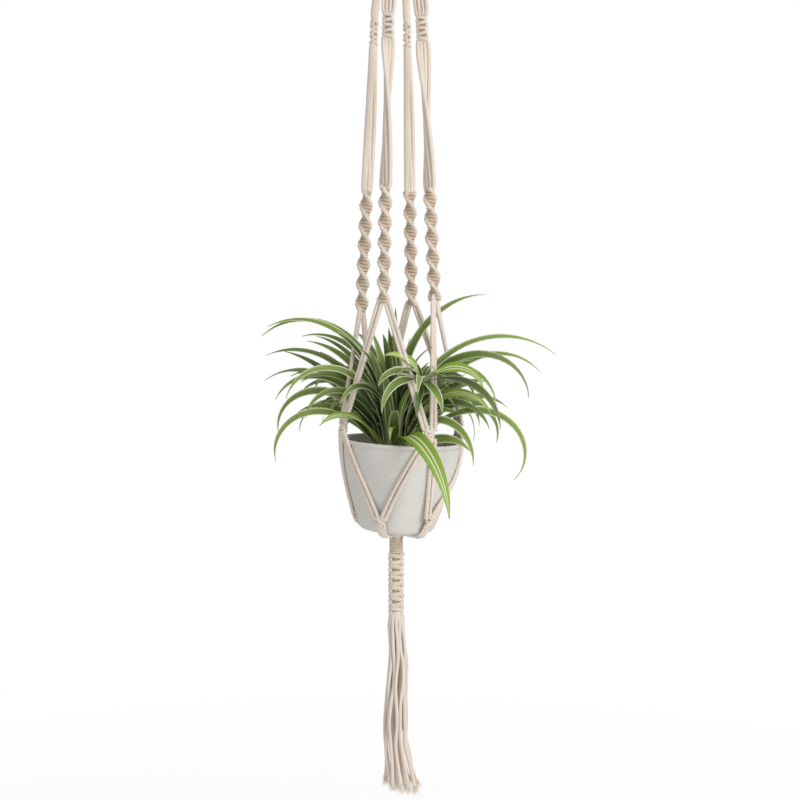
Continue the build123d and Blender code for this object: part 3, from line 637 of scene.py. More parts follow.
def half_knot_tree():
    """Spiral sinnet: two working cords cross over the core, and each half knot is turned on the last."""
    if "Half knots" in bpy.data.node_groups:
        return bpy.data.node_groups["Half knots"]
    sizes = (
        ("Length", "Float", 0.13),
        ("Knots", "Int", 30),
        ("Turn", "Float", 0.0),
        ("Half Width", "Float", 0.0055),
        ("Half Depth", "Float", 0.0023),
        ("Diameter", "Float", 0.004),
        ("Sides", "Int", 10),
        ("Step", "Float", 0.0012),
    )
    tree, given = new_tree("Half knots", sizes)
    samples = add_node(tree, "ShaderNodeMath", (given["Knots"], 16, 1), operation="MULTIPLY_ADD")
    cords = []
    for side in (0.0, 1.0):
        line = add_node(tree, "GeometryNodeCurvePrimitiveLine", {"Start": (0, 0, 0), "End": (0, 0, -1)})
        fine = add_node(tree, "GeometryNodeResampleCurve", {"Curve": line, "Count": samples}, mode="COUNT")
        made = {socket.name: socket for socket in given}
        made["run"] = add_node(tree, "GeometryNodeSplineParameter").outputs["Factor"]
        # each line is one sum: what it gives, how, and from what
        for name, operation, *terms in (
            ("knot", "MULTIPLY", "run", "Knots"),
            ("cycle", "MULTIPLY", "knot", 2 * math.pi),
            ("wave", "SINE", "cycle"),
            ("passing", "ADD", "knot", side),
            ("phase", "MULTIPLY", "passing", math.pi),
            ("swing", "COSINE", "phase"),
            ("across", "MULTIPLY", "swing", "Half Width"),
            ("cross", "SINE", "phase"),
            ("share", "MULTIPLY", "cross", "cross"),
            # the loops at the edges follow the twist, so that they line up as one ridge
            ("fullness", "MULTIPLY_ADD", "share", 0.55, 0.45),
            ("bow", "MULTIPLY", "cross", "fullness"),
            ("facing", "MULTIPLY", "bow", "Half Depth"),
            ("later", "SUBTRACT", "knot", 0.5),
            ("turn", "MULTIPLY", "later", "Turn"),
            ("cosine", "COSINE", "turn"),
            ("sine", "SINE", "turn"),
            ("across_x", "MULTIPLY", "across", "cosine"),
            ("facing_x", "MULTIPLY", "facing", "sine"),
            ("x", "SUBTRACT", "across_x", "facing_x"),
            ("across_y", "MULTIPLY", "across", "sine"),
            ("facing_y", "MULTIPLY", "facing", "cosine"),
            ("y", "ADD", "across_y", "facing_y"),
            ("height", "DIVIDE", "Length", "Knots"),
            ("level", "MULTIPLY_ADD", "wave", 1.0 / (2 * math.pi), "knot"),
            ("drop", "MULTIPLY", "level", "height"),
            ("z", "MULTIPLY", "drop", -1.0),
            # pulled tight, the cord is thin where it crosses the face and full where it rounds the edge
            ("girth", "MULTIPLY_ADD", "share", -0.36, 1.1),
        ):
            terms = [made.get(term, term) for term in terms]
            made[name] = add_node(tree, "ShaderNodeMath", terms, operation=operation)
        place = add_node(tree, "ShaderNodeCombineXYZ", (made["x"], made["y"], made["z"]))
        drawn = add_node(tree, "GeometryNodeSetCurveRadius", {"Curve": fine, "Radius": made["girth"]})
        # painted shade: where the cord crosses the face of the sinnet it is stored as shaded, so the cotton
        # browns these bars and leaves the loops at the edges light
        kept = {"Geometry": drawn, "Name": "deep", "Value": made["share"]}
        deep = add_node(tree, "GeometryNodeStoreNamedAttribute", kept, data_type="FLOAT", domain="POINT")
        cords.append(add_node(tree, "GeometryNodeSetPosition", {"Geometry": deep, "Position": place}))
    both = add_node(tree, "GeometryNodeJoinGeometry", {"Geometry": cords})
    return sweep_nodes(tree, given, both)


def fray_tree():
    """Frayed end: loose cotton fibres that fan out below a cut cord."""
    if "Frayed end" in bpy.data.node_groups:
        return bpy.data.node_groups["Frayed end"]
    sizes = (("Length", "Float", 0.014), ("Spread", "Float", 0.0017), ("Seed", "Int", 1))
    tree, given = new_tree("Frayed end", (("Fibres", "Int", 60), *sizes))
    spread, seed = given["Spread"], given["Seed"]
    low = add_node(tree, "ShaderNodeMath", (spread, -1.0), operation="MULTIPLY")
    least = add_node(tree, "ShaderNodeCombineXYZ", (low, low, 0.0))
    most = add_node(tree, "ShaderNodeCombineXYZ", (spread, spread, 1 * MM))
    cut_end = {"Min": least, "Max": most, "Seed": seed}
    spot = add_node(tree, "FunctionNodeRandomValue", cut_end, data_type="FLOAT_VECTOR")
    points = add_node(tree, "GeometryNodePoints", {"Count": given["Fibres"], "Position": spot})
    taper = {"Vertices": 4, "Side Segments": 3, "Radius Top": 0.06 * MM, "Radius Bottom": 0.3 * MM}
    fibre = add_node(tree, "GeometryNodeMeshCone", {**taper, "Depth": given["Length"]})
    hung = add_node(tree, "GeometryNodeTransform", {"Geometry": fibre, "Rotation": (math.pi, 0, 0)})
    leaning = {"Min": (-0.3, -0.3, -3.0), "Max": (0.3, 0.3, 3.0), "Seed": seed}
    lean = add_node(tree, "FunctionNodeRandomValue", leaning, data_type="FLOAT_VECTOR")
    uneven = {"Min": 0.35, "Max": 1.1, "Seed": seed}
    size = add_node(tree, "FunctionNodeRandomValue", uneven, data_type="FLOAT")
    set_out = {"Points": points, "Instance": hung, "Rotation": lean, "Scale": size}
    return finish_tree(tree, add_node(tree, "GeometryNodeInstanceOnPoints", set_out), given["Material"])


def crumb_tree():
    """Loose crumbs of soil strewn over a surface."""
    sizes = (("Density", "Float", 90000.0), ("Crumb Radius", "Float", 0.0014), ("Seed", "Int", 4))
    tree, given = new_tree("Soil crumbs", (("Ground", "Geometry", None), *sizes))
    ground, seed = given["Ground"], given["Seed"]
    strewing = {"Mesh": ground, "Density": given["Density"], "Seed": seed}
    spots = add_node(tree, "GeometryNodeDistributePointsOnFaces", strewing)
    crumb = add_node(tree, "GeometryNodeMeshIcoSphere", {"Radius": given["Crumb Radius"], "Subdivisions": 1})
    lumps = {"Min": (0.4, 0.3, 0.3), "Max": (1.5, 1.1, 0.9), "Seed": seed}
    size = add_node(tree, "FunctionNodeRandomValue", lumps, data_type="FLOAT_VECTOR")
    turns = {"Min": (0, 0, 0), "Max": (6, 6, 6), "Seed": seed}
    turn = add_node(tree, "FunctionNodeRandomValue", turns, data_type="FLOAT_VECTOR")
    set_out = {"Points": spots, "Instance": crumb, "Rotation": turn, "Scale": size}
    strewn = add_node(tree, "GeometryNodeInstanceOnPoints", set_out)
    all_soil = add_node(tree, "GeometryNodeJoinGeometry", {"Geometry": [ground, strewn]})
    return finish_tree(tree, all_soil, given["Material"])


# ---------------------------------------------------------------- cord pieces
def path_object(routes, girths=None):
    """Curve object with a smooth open spline for each route in millimetres; two points make a straight one."""
    curve = bpy.data.curves.new("route", "CURVE")
    curve.dimensions = "3D"
    curve.resolution_u = 10
    for route in routes:
        spline = curve.splines.new("POLY" if len(route) == 2 else "NURBS")
        spline.points.add(len(route) - 1)
        for number, (point, place) in enumerate(zip(spline.points, route)):
            point.co = (*(place * MM), 1)
            point.radius = girths[number] if girths else 1.0
        if len(route) > 2:
            spline.order_u = 3
            spline.use_endpoint_u = True
    made = bpy.data.objects.new("route", curve)
    bpy.context.scene.collection.objects.link(made)
    return made


def cord_mesh(context, routes, diameter=None, material=None, girths=None, deep=0.0):
    """Mesh of cords along routes; the shade setting is how much painted shade browns them, as where a knot
    hides them, and girths swell them by point.
    """
    cord = context.scene.planter_cord
    path = path_object(routes, girths)
    settings = {
        "Path": path,
        "Diameter": diameter * MM if diameter else cord.diameter,
        "Sides": cord.sides,
        "Step": cord.step,
        "Material": material or braided_cotton(context),
    }
    mesh = grown("cords", cord_tree(), settings)
    bpy.data.objects.remove(path)
    # painted shade: every point of these cords gets the same share of painted shade
    if "deep" not in mesh.attributes:
        mesh.attributes.new("deep", "FLOAT", "POINT")
    mesh.attributes["deep"].data.foreach_set("value", [deep] * len(mesh.vertices))
    return mesh


def cotton(context, name, routes, node, body="hanger", **look):
    """Piece of cotton cord laid along routes, which stands for a CAD node."""
    return piece(name, cord_mesh(context, routes, **look), body, "cotton_cord", node)


def square_knots(half_width, half_depth, pitch, count, gap=0.0, flat=0.8):
    """Routes of the two working cords of a square-knot sinnet, in its own frame with its top at the origin.

    One crosses the face of every half knot, the other crosses behind and hooks forward over it at the sides.
    """
    front, back = [], []
    for step in range(count * 8 + 1):
        knot = step / 8
        swing = math.cos(math.pi * knot)
        side = abs(swing)
        level = -pitch * (knot + flat * math.sin(2 * math.pi * knot) / (2 * math.pi))
        level += gap * math.sin(math.pi * knot)
        width = half_width * (1 + 0.05 * gap * swing)
        front.append(Vector((-width * swing, -half_depth * (1 - 0.75 * side**4), level)))
        back.append(Vector((1.06 * width * swing, half_depth * (1 - 1.75 * side**6), level)))
    return [front, back]


def core_cords(offset, top, bottom):
    """Two straight core cords inside a sinnet."""
    return [[Vector((side * offset, 0, z)) for z in (top, bottom)] for side in (-1, 1)]


def placed(routes, matrix):
    """Routes moved from a knot's own frame."""
    return [[matrix @ point for point in route] for route in routes]


class Arm:
    """Places along one arm."""

    def __init__(self, name):
        self.azimuth = arm_azimuths[name]
        self.way = polar(1, self.azimuth)
        self.across = polar(1, self.azimuth + 90)
        # the four cords lie in a row at the square sinnet, and the ribbon below it turns that row
        twisted = name in twisted_arms
        self.row = polar(1, arm_azimuths["right" if twisted else "back"])
        self.twist, self.haste, self.slack, self.stand = twisted_ribbon if twisted else plain_ribbon
        self.square_top = arm_centre(self.azimuth, square_top_z)
        self.square_bottom = arm_centre(self.azimuth, square_top_z - square_rows * square_row_height)
        self.spiral_top = arm_centre(self.azimuth, spiral_top_z)
        self.spiral_bottom = arm_centre(self.azimuth, spiral_bottom_z[name])
        self.foot = arm_centre(self.azimuth, spiral_bottom_z[name] - slant_gap)
        self.up = (self.square_top - self.spiral_bottom).normalized()

    def row_at(self, share):
        """Direction of the row of cords a share of the way down the ribbon, square to the arm."""
        row = turned(self.row, (0, 0, 1), self.twist * share)
        return (row - self.up * row.dot(self.up)).normalized()


arms = {name: Arm(name) for name in arm_azimuths}


class PlanterOperator:
    """What the operators of the planter share."""

    bl_options = {"REGISTER", "UNDO"}


class PLANTER_OT_ring(PlanterOperator, bpy.types.Operator):
    """Gives the hanging ring its satin steel"""

    bl_idname = "planter.ring"
    bl_label = "Hanging ring"

    def execute(self, context):
        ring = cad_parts["hanging_ring"]
        ring.data.materials.clear()
        ring.data.materials.append(satin_steel())
        return {"FINISHED"}


def fold_route(layer, place):
    """Route of a cord folded over the ring's lower bar, with both its legs run into the binding."""
    along = place * cord_pitch
    edge = abs(along) + cord_d / 2
    bar_rise = ring_radius - math.sqrt(ring_radius**2 - edge**2)
    fold_r = ring_wire_d / 2 + bar_rise + seat_gap + cord_d / 2 + layer * cord_pitch
    leg = (layer + 0.5) * cord_pitch
    outline = [(-leg, top_wrap_top_z - 6), (-leg - 0.5, top_wrap_top_z + 4)]
    for angle in range(190, -11, -25):
        turn = math.radians(angle)
        outline.append((fold_r * math.cos(turn), ring_bar_z + fold_r * math.sin(turn)))
    outline += [(leg + 0.5, top_wrap_top_z + 4), (leg, top_wrap_top_z - 6)]
    bar_way, swing_way = polar(1, ring_turn), polar(1, ring_turn - 90)
    return [bar_way * along + swing_way * across + Vector((0, 0, z)) for across, z in outline]


def spread_routes(arm, bottom):
    """Routes of an arm's four cords from the underside of the binding to the row of its square sinnet."""
    lined = abs(arm.row.dot(arm.way)) > 0.5
    along, outward = (arm.way, arm.across) if lined else (arm.across, arm.way)
    # the order of the cords in the row, and how far each stands before or behind it halfway down
    if lined:
        places = [(-1.5, 0), (1.5, 0), (0.5, 0.6), (-0.5, -0.6)]
    else:
        places = [(-0.5, -0.6), (0.5, 0.6), (1.5, 0), (-1.5, 0)]
    exits = [polar(strand_ring_inner, arm.azimuth, bottom)]
    exits += [polar(strand_ring_outer, arm.azimuth + aside, bottom) for aside in (0, 30, -30)]
    middle = (arm.square_top + exits[1]) / 2
    routes = []
    for start, (place, step) in zip(exits, places):
        spot = middle + along * (place * cord_pitch) + outward * (step * cord_pitch)
        end = arm.square_top + along * (place * cord_pitch)
        drawn = arm.square_top + along * (place * cord_pitch * 0.62)
        inside = start + Vector((0, 0, 12))
        routes.append([inside, start, spot, end + arm.up * 9, end + arm.up * 3, drawn - arm.up * 3])
    return routes


class PLANTER_OT_top(PlanterOperator, bpy.types.Operator):
    """Folds eight cords over the ring, binds them and spreads their sixteen ends to the arms"""

    bl_idname = "planter.top"
    bl_label = "Top of the hanger"

    def execute(self, context):
        folds = [fold_route(layer, place) for layer in range(2) for place in four_abreast]
        cotton(context, "ring_folds", folds, "ring_loops")

        top, bottom = top_wrap_top_z, top_wrap_top_z - top_wrap_length
        steps = (round(top_wrap_length / cord_pitch) - 1) * turn_points
        winding = [polar(6.0, 0, top - 4)]
        for step in range(steps + 1):
            drop = step * (top_wrap_length - 4.4) / steps
            winding.append(polar((top_wrap_d - cord_d) / 2, step * 360 / turn_points + 30, top - 2.2 - drop))
        winding.append(polar(6.0, 60, bottom + 4))
        bound = [(2.4, 60 * i) for i in range(3)] + [(6.6, 36 * i) for i in range(10)]
        core = [[polar(r, a, top + 1), polar(r, a + 20, bottom + 1)] for r, a in bound]
        cotton(context, "top_binding", [winding] + core, "top_wrap")

        spread = [route for arm in arms.values() for route in spread_routes(arm, bottom)]
        cotton(context, "spread_cords", spread, "upper_cords", diameter=easy_cord_d)
        return {"FINISHED"}


def ribbon_route(name, place):
    """Route of one of an arm's four long cords, from its place in the row above to that in the row below."""
    arm = arms[name]
    route = []
    for step in range(9):
        share = step / 8
        opened = share ** twist_pace[name] * arm.haste
        middle = (arm.square_bottom + arm.up * 2).lerp(arm.spiral_top - arm.up * 3, share)
        slack = arm.slack * math.sin(math.pi * (2 * share + place))
        # the knots above and below draw the row together
        drawn = 0.66 if step in (0, 8) else 1.06
        row = arm.row_at(opened)
        outward = row.cross(arm.up) * (math.copysign(arm.stand, abs(place) - 1) * math.sin(math.pi * share))
        route.append(middle + row * (place * cord_pitch + slack) * drawn + outward)
    # just clear of each knot the cord already stands out to its place
    route.insert(1, route[0].lerp(route[1], 0.16) + arm.row_at(0) * (place * cord_pitch * 0.3))
    route.insert(-1, route[-1].lerp(route[-2], 0.16) + arm.row_at(opened) * (place * cord_pitch * 0.3))
    return route


class PLANTER_OT_sinnets(PlanterOperator, bpy.types.Operator):
    """Ties the square and spiral sinnets of the four arms and the ribbons of cord between them"""

    bl_idname = "planter.sinnets"
    bl_label = "Arms"

    def execute(self, context):
        cord = context.scene.planter_cord
        for name, arm in arms.items():
            half_width, half_depth = (square_width - cord_d) / 2, (square_depth - cord_d) / 2
            length = (arm.square_top - arm.square_bottom).length
            knots = square_knots(half_width, half_depth, length / square_rows, square_rows)
            top = knot_frame(arm.square_top, arm.row_at(0), arm.up)
            tied = cord_mesh(context, placed(knots, top), square_tie_d)
            # painted shade: the core inside the square knots is browned almost fully
            core = cord_mesh(context, placed(core_cords(1.9, 0, -length), top), core_cord_d, deep=0.9)
            square = joined(tied, core)
            piece(f"square_knots_{name}", square, "hanger", "cotton_cord", f"square_sinnet_{name}")

            ribbon = [ribbon_route(name, place) for place in four_abreast]
            cotton(context, f"ribbon_{name}", ribbon, f"long_cords_{name}", diameter=ribbon_cord_d)

            length = (arm.spiral_top - arm.spiral_bottom).length
            settings = {
                "Length": length * MM,
                "Knots": round(length / half_knot_height),
                "Turn": math.radians(half_knot_turn),
                "Half Width": ((half_knot_width - cord_d) / 2 + knot_swell) * MM,
                "Half Depth": ((half_knot_depth - cord_d) / 2 + knot_swell / 2) * MM,
                "Diameter": cord.diameter * 1.03,
                "Sides": cord.sides,
                "Step": cord.step * 0.75,
                "Material": braided_cotton(context),
            }
            first = turned(arm.row_at(1), arm.up, first_knot_turn[name])
            top = knot_frame(arm.spiral_top * MM, first, arm.up)
            spiral = grown("spiral", half_knot_tree(), settings, place=top)
            inside = placed(core_cords(1.2, 1, -length), knot_frame(arm.spiral_top, arm.row_at(1), arm.up))
            # painted shade: the core inside the spiral is browned fully
            core = cord_mesh(context, inside, core_cord_d, deep=1.0)
            spiral = joined(spiral, core)
            piece(f"half_knots_{name}", spiral, "hanger", "cotton_cord", f"spiral_sinnet_{name}")
        return {"FINISHED"}


# ---------------------------------------------------------------- net round the pot
rim_knot_r = pot_rim_d / 2 + knot_depth / 2 - 1.5
base_knot_seat = knot_depth / 2 + knot_width * 0.3 * math.sin(math.radians(12)) + seat_gap


def net_knot(routes, radius, azimuth, height, lean):
    """A knot of four cords laid against the pot."""
    upright = (in_pot_way(azimuth, 0, 1) + in_pot_way(azimuth) * lean).normalized()
    top = in_pot(radius, azimuth, height) + upright * (knot_height / 2)
    return placed(routes, knot_frame(top, in_pot_way(azimuth + 90), upright))


def rim_tie():
    """Routes of the cords in a rim knot: two working cords round a core of two."""
    knots = square_knots((knot_width - cord_d) / 2, (knot_depth - cord_d) / 2, knot_height / 3, 3)
    return knots + core_cords(2.2, 1, -knot_height - 1)


def base_tie():
    """Routes of the cords in a base knot, where the pairs of the net cross over each other in one tie."""
    half_width, half_depth = (knot_width - cord_d) / 2, (knot_depth - cord_d) / 2
    routes = square_knots(half_width * 0.86, half_depth, knot_height / 2, 2, flat=-0.5)
    for side in (-1, 1):
        # how far out, how far before or behind, and how far down each pair is as it crosses
        crossing = (
            (side * half_width, 0, 2),
            (side * half_width * 0.8, -side * 1.6, -knot_height * 0.25),
            (0, -side * 2.2, -knot_height * 0.5),
            (-side * half_width * 0.7, -side * 1.6, -knot_height * 0.75),
            (-side * half_width * 0.8, 0, -knot_height - 2),
        )
        routes += [[Vector((x + step, y, z)) for x, y, z in crossing] for step in (-1, 1)]
    return routes


def between(first, last):
    """The shorter turn from one azimuth to another."""
    return (last - first + 180) % 360 - 180


def cradle_pair(rim_azimuth, base_azimuth, base_height):
    """Routes of two cords side by side from a rim knot, over the rim and down the wall to a base knot."""
    side = math.copysign(1, between(rim_azimuth, base_azimuth))
    top_h = rim_knot_height - knot_height / 2 - slant_gap
    lean = wall_slope(base_height)
    upright = math.cos(math.atan(lean))
    end_h = base_height + (knot_height / 2 + slant_gap) * upright
    end_r = wall_radius(base_height) + base_knot_seat + (knot_height / 2 + slant_gap) * lean * upright
    start_azimuth = rim_azimuth + math.degrees(side * pair_pitch / rim_knot_r)
    turn = between(start_azimuth, base_azimuth - math.degrees(side * pair_pitch / end_r))
    steps = max(3, math.ceil(abs(turn) / cradle_step))
    lift = (cord_d / 2 + seat_gap + 0.6) / math.cos(math.radians(turn / steps / 2))
    middles = []
    for step in range(steps + 1):
        share = step / steps
        height = top_h + (end_h - top_h) * share
        radius = {0: rim_knot_r + 0.8, steps: end_r}.get(step, wall_radius(min(height, pot_height)) + lift)
        middles.append((radius, start_azimuth + turn * share, height))
    places = [in_pot(*middle) for middle in middles]
    pair = []
    for place in two_abreast:
        route = []
        for step, (_, azimuth, height) in enumerate(middles):
            outward = (in_pot_way(azimuth) - in_pot_way(azimuth, 0, 1) * wall_slope(height)).normalized()
            run = places[min(step + 1, steps)] - places[max(step - 1, 0)]
            beside = outward.cross(run).normalized()
            if step in (0, steps):
                beside = (beside + in_pot_way(azimuth + 90)).normalized()
            route.append(places[step] + beside * (place * pair_pitch))
        first, last = (route[0] - route[1]).normalized(), (route[-1] - route[-2]).normalized()
        pair.append([route[0] + first * 4] + route + [route[-1] + last * 4])
    return pair


def branch_route(arm, side, place):
    """Route of a cord from the foot of an arm to the rim knot on one side of it."""
    aside = (side + place) * pair_pitch
    start = arm.foot + arm.across * aside
    end_h = rim_knot_height + knot_height / 2 + slant_gap
    end = in_pot(rim_knot_r, arm.azimuth + side * 45.0, end_h, (place - side) * pair_pitch)
    run = (end - start).normalized()
    inside = arm.foot + arm.across * (aside * 0.6) + arm.up * 6
    return [inside, start, start + run * 12, start.lerp(end, 0.6), end + run * 3]


def under_route(name, place):
    """Routes of a cord from a base knot to the middle of the pot's foot, and from there down to the tail."""
    azimuth, height = base_knot_places[name]
    lean = wall_slope(height)
    upright = math.cos(math.atan(lean))
    start_h = height - knot_height / 2 * upright
    start_r = wall_radius(height) + base_knot_seat - knot_height / 2 * lean * upright
    reach = (pot_foot_round + cord_d / 2 + seat_gap) / math.cos(math.radians(17))
    shoulder_r, low_r = (foot_flat_r + reach * math.cos(math.radians(angle)) for angle in (39, 73))
    shoulder_h = pot_foot_round - reach * math.sin(math.radians(39))
    under_h = -cord_d / 2 - seat_gap - 0.1
    # the four draw into a round bundle below the knot, then fan out again under the pot
    aside = place * cord_pitch * 0.5
    lift = 0.0 if abs(place) > 1 else 1.7
    under = [
        in_pot(start_r + 0.8, azimuth, start_h + 2, aside),
        in_pot(start_r + lift * 0.6, azimuth, start_h, aside),
    ]
    if start_h > shoulder_h + cord_d:
        under.append(in_pot(shoulder_r + lift, azimuth, shoulder_h, aside))
    under.append(in_pot(low_r + lift * 0.5, azimuth, under_h - lift * 0.7, aside))
    end_azimuth = gather_azimuths[name] + place * math.degrees((cord_d + 0.2) / gather_r)
    under += [in_pot(radius, end_azimuth, under_h) for radius in (gather_r + cord_d, gather_r - 1)]
    inner = 7.0 if abs(place) > 1 else 3.6
    neck = [
        under[-1],
        in_pot(inner + 1.8, end_azimuth, under_h - 0.3),
        tail_middle + polar(inner * 0.86, end_azimuth, tail_pivot_z + 3.5),
        tail_middle + polar(inner * 0.7, end_azimuth, tail_pivot_z - 6),
    ]
    return under, neck


class PLANTER_OT_cradle(PlanterOperator, bpy.types.Operator):
    """Branches the arms to the rim knots, nets the pot down to the base knots and gathers the cords below"""

    bl_idname = "planter.cradle"
    bl_label = "Cradle"

    def execute(self, context):
        for name, arm in arms.items():
            branches = [branch_route(arm, side, place) for side in (-1, 1) for place in two_abreast]
            cotton(context, f"branches_{name}", branches, f"branch_cords_{name}", diameter=branch_cord_d)

        for name, azimuth in rim_knot_azimuths.items():
            knot = net_knot(rim_tie(), rim_knot_r, azimuth, rim_knot_height, 0)
            cotton(context, f"rim_tie_{name}", knot, f"rim_knot_{name}")
            bases = [base_knot_places[base] for base in base_knots_of[name]]
            pairs = [route for base in bases for route in cradle_pair(azimuth, *base)]
            cotton(context, f"net_cords_{name}", pairs, f"cradle_cords_{name}", diameter=easy_cord_d)

        under, neck = [], []
        for name, (azimuth, height) in base_knot_places.items():
            radius = wall_radius(height) + base_knot_seat
            knot = net_knot(base_tie(), radius, azimuth, height, wall_slope(height))
            cotton(context, f"base_tie_{name}", knot, f"base_knot_{name}", diameter=base_tie_d)
            for place in four_abreast:
                below, down = under_route(name, place)
                under.append(below)
                neck.append(down)
        cotton(context, "under_cords", under, "base_cords")
        gather = cotton(context, "gather_cords", neck, "base_gather", body=None)
        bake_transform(gather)
        return {"FINISHED"}


# ---------------------------------------------------------------- pot and soil
def lathe(profile, segments):
    """Points and faces of a profile turned about the vertical axis, closed at both poles."""
    points = [Vector((0, 0, profile[0][1]))]
    for radius, height in profile[1:-1]:
        points += [polar(radius, 360 * i / segments, height) for i in range(segments)]
    points.append(Vector((0, 0, profile[-1][1])))
    rings = len(profile) - 2
    faces = []
    for i in range(segments):
        following = (i + 1) % segments
        faces.append((0, 1 + following, 1 + i))
        for ring in range(rings - 1):
            base = 1 + ring * segments
            faces.append((base + i, base + following, base + segments + following, base + segments + i))
        last = 1 + (rings - 1) * segments
        faces.append((last + i, last + following, len(points) - 1))
    return points, faces


class PLANTER_OT_pot(PlanterOperator, bpy.types.Operator):
    """Throws the tapered pot with its round foot and thin rim"""

    bl_idname = "planter.pot"
    bl_label = "Pot"

    def execute(self, context):
        pot = context.scene.planter_pot
        corner = math.atan(wall_slope(0))
        profile = [(0.0, 0.0), (foot_flat_r * 0.5, 0.0), (foot_flat_r, 0.0)]
        for step in range(1, 9):
            angle = -math.pi / 2 + (math.pi / 2 - corner) * step / 8
            out, up = pot_foot_round * math.cos(angle), pot_foot_round * (1 + math.sin(angle))
            profile.append((foot_flat_r + out, up))
        start = profile[-1][1]
        for step in range(1, 25):
            height = start + (pot_height - 4.2 - start) * step / 24
            profile.append((wall_radius(height), height))
        # the rim: a low band with its edges rounded over, from outside to inside
        rim_r = wall_radius(pot_height) + 0.8
        for inset, drop in ((0.15, 3.9), (0, 3.5), (0, 0.9), (0.4, 0.3), (1.5, 0), (2.7, 0.35)):
            profile.append((rim_r - inset, pot_height - drop))
        for step in range(13):
            height = pot_height - 2 - (pot_height - 10) * step / 12
            inset = 2.6 + (pot_wall - 2.6) * min(1.0, step / 3)
            profile.append((wall_radius(height) - inset, height))
        profile += [(30.0, pot_wall + 0.4), (0.0, pot_wall)]
        points, faces = lathe(profile, pot.segments)
        mesh = mesh_of([pot_matrix @ point for point in points], faces, combed_stoneware(context))
        piece("stoneware_pot", mesh, "hanger", "pot_ceramic", "pot")
        return {"FINISHED"}


class PLANTER_OT_soil(PlanterOperator, bpy.types.Operator):
    """Fills the pot with crumbly soil"""

    bl_idname = "planter.soil"
    bl_label = "Soil"

    def execute(self, context):
        chance = random.Random(7)
        edge = wall_radius(soil_height) - pot_wall - 0.4
        rings = 14
        profile = [(0.0, soil_height - 24), (edge - 3, soil_height - 24), (edge - 1.5, soil_height - 3)]
        profile += [(edge * (rings - i) / rings, soil_height - 0.3) for i in range(rings)]
        profile.append((0.0, soil_height))
        points, faces = lathe(profile, 64)
        for point in points:
            if point.z > soil_height - 1:
                point.z += chance.uniform(-0.8, 0.6)
        material = potting_soil()
        ground = mesh_of([pot_matrix @ point for point in points], faces, material)
        settings = {"Seed": 4, "Crumb Radius": 1.3 * MM, "Density": 60000.0, "Material": material}
        soil = grown("soil", crumb_tree(), settings, ground)
        piece("potting_soil", soil, "hanger", "soil", "soil")
        return {"FINISHED"}


# ---------------------------------------------------------------- spider plant
def crown_top(root):
    """Height of the crown above the soil at a distance from its middle."""
    dome = (crown_radius**2 + crown_height**2) / (2 * crown_height)
    return math.sqrt(dome**2 - root**2) - dome + crown_height


def leaf_path(azimuth, root, length, rise, tip, sway, bend=leaf_bend, start=None):
    """Middle line of a leaf that rises from the crown or a start and arches over: points, ways and sides."""
    seat = Vector((crown_x, 0, soil_height + crown_top(root) + leaf_seat)) + polar(root, azimuth)
    point = start.copy() if start else pot_matrix @ seat
    path = []
    for step in range(leaf_steps + 1):
        share = step / leaf_steps
        angle = math.radians(rise + (tip - rise) * share**bend)
        heading = azimuth + sway * share
        way = polar(math.cos(angle), heading, math.sin(angle))
        path.append((point.copy(), way, polar(1, heading + 90)))
        point += way * (length / leaf_steps)
    return path


def leaf_width(share, width):
    """Width of a leaf along its length: narrow at the root, full through its middle, pointed at the tip."""
    return width * leaf_fullness * max(min(1.0, 0.34 + 1.9 * share) * (1 - share**3), 0.04)


def leaf_mesh(rows, material, chance, thickness, bright=(), pale=(), shaded_count=0, start=None):
    """Mesh of leaves: channelled blades, each with its tone and a map across and along; the first, as many as
    the shaded count, get a low tone as painted shade.
    """
    points, faces, blades, tones, fresh = [], [], [], [], []
    columns = 6
    for number, (azimuth, root, length, rise, tip, width, sway, *bend) in enumerate(rows):
        # painted shade: the first leaves, as many as the shaded count, get a low tone, nearer the older leaves'
        # green, for the shaded inner mass
        tone = max(chance.random() * (0.25 if number < shaded_count else 1.0), 0.75 if number in pale else 0.0)
        ripple = chance.uniform(0, 6)
        roll = math.radians(leaf_roll * math.cos(math.radians(azimuth)) + chance.uniform(-14, 14))
        first = len(points)
        path = leaf_path(azimuth, root, length, rise, tip, sway, *(bend or (leaf_bend,)), start=start)
        for station, (point, way, side) in enumerate(path):
            share = station / leaf_steps
            across = leaf_width(share, width)
            side = Quaternion(way, roll * min(1.0, share * 2.2)) @ side
            upward = way.cross(side)
            for column in range(columns + 1):
                spot = column / columns - 0.5
                fold = across * leaf_channel * (2 * abs(spot)) ** 1.5
                fold += 0.25 * math.sin(share * 21 + ripple) * (2 * spot) ** 3
                points.append(point + side * (across * spot) + upward * fold)
                tones.append(tone)
                fresh.append(1.0 if number in bright else 0.0)
        for station in range(leaf_steps):
            for column in range(columns):
                corner = first + station * (columns + 1) + column
                faces.append((corner, corner + 1, corner + columns + 2, corner + columns + 1))
                for u, v in ((0, 0), (1, 0), (1, 1), (0, 1)):
                    blades += [(column + u) / columns, (station + v) / leaf_steps]
    mesh = mesh_of(points, faces, material)
    mesh.uv_layers.new(name="blade").data.foreach_set("uv", blades)
    for name, values in (("tone", tones), ("bright", fresh)):
        mesh.attributes.new(name, "FLOAT", "POINT").data.foreach_set("value", values)
    host = bpy.data.objects.new("blades", mesh)
    bpy.context.scene.collection.objects.link(host)
    solid = host.modifiers.new("Thickness", "SOLIDIFY")
    solid.thickness = thickness
    solid.offset = 0
    return plain_mesh(host)


def cord_lines():
    """Middle lines of the spirals and branch pairs, and the room that inner leaves leave round each."""
    lines = []
    for name, arm in arms.items():
        foot = arm_centre(arm.azimuth, spiral_bottom_z[name])
        lines.append((arm.spiral_top, foot, 9.0))
        for side in (-1, 1):
            knot = in_pot(rim_knot_r, arm.azimuth + side * 45.0, rim_knot_height)
            lines.append((foot + arm.across * (side * pair_pitch), knot, 7.5))
    return lines


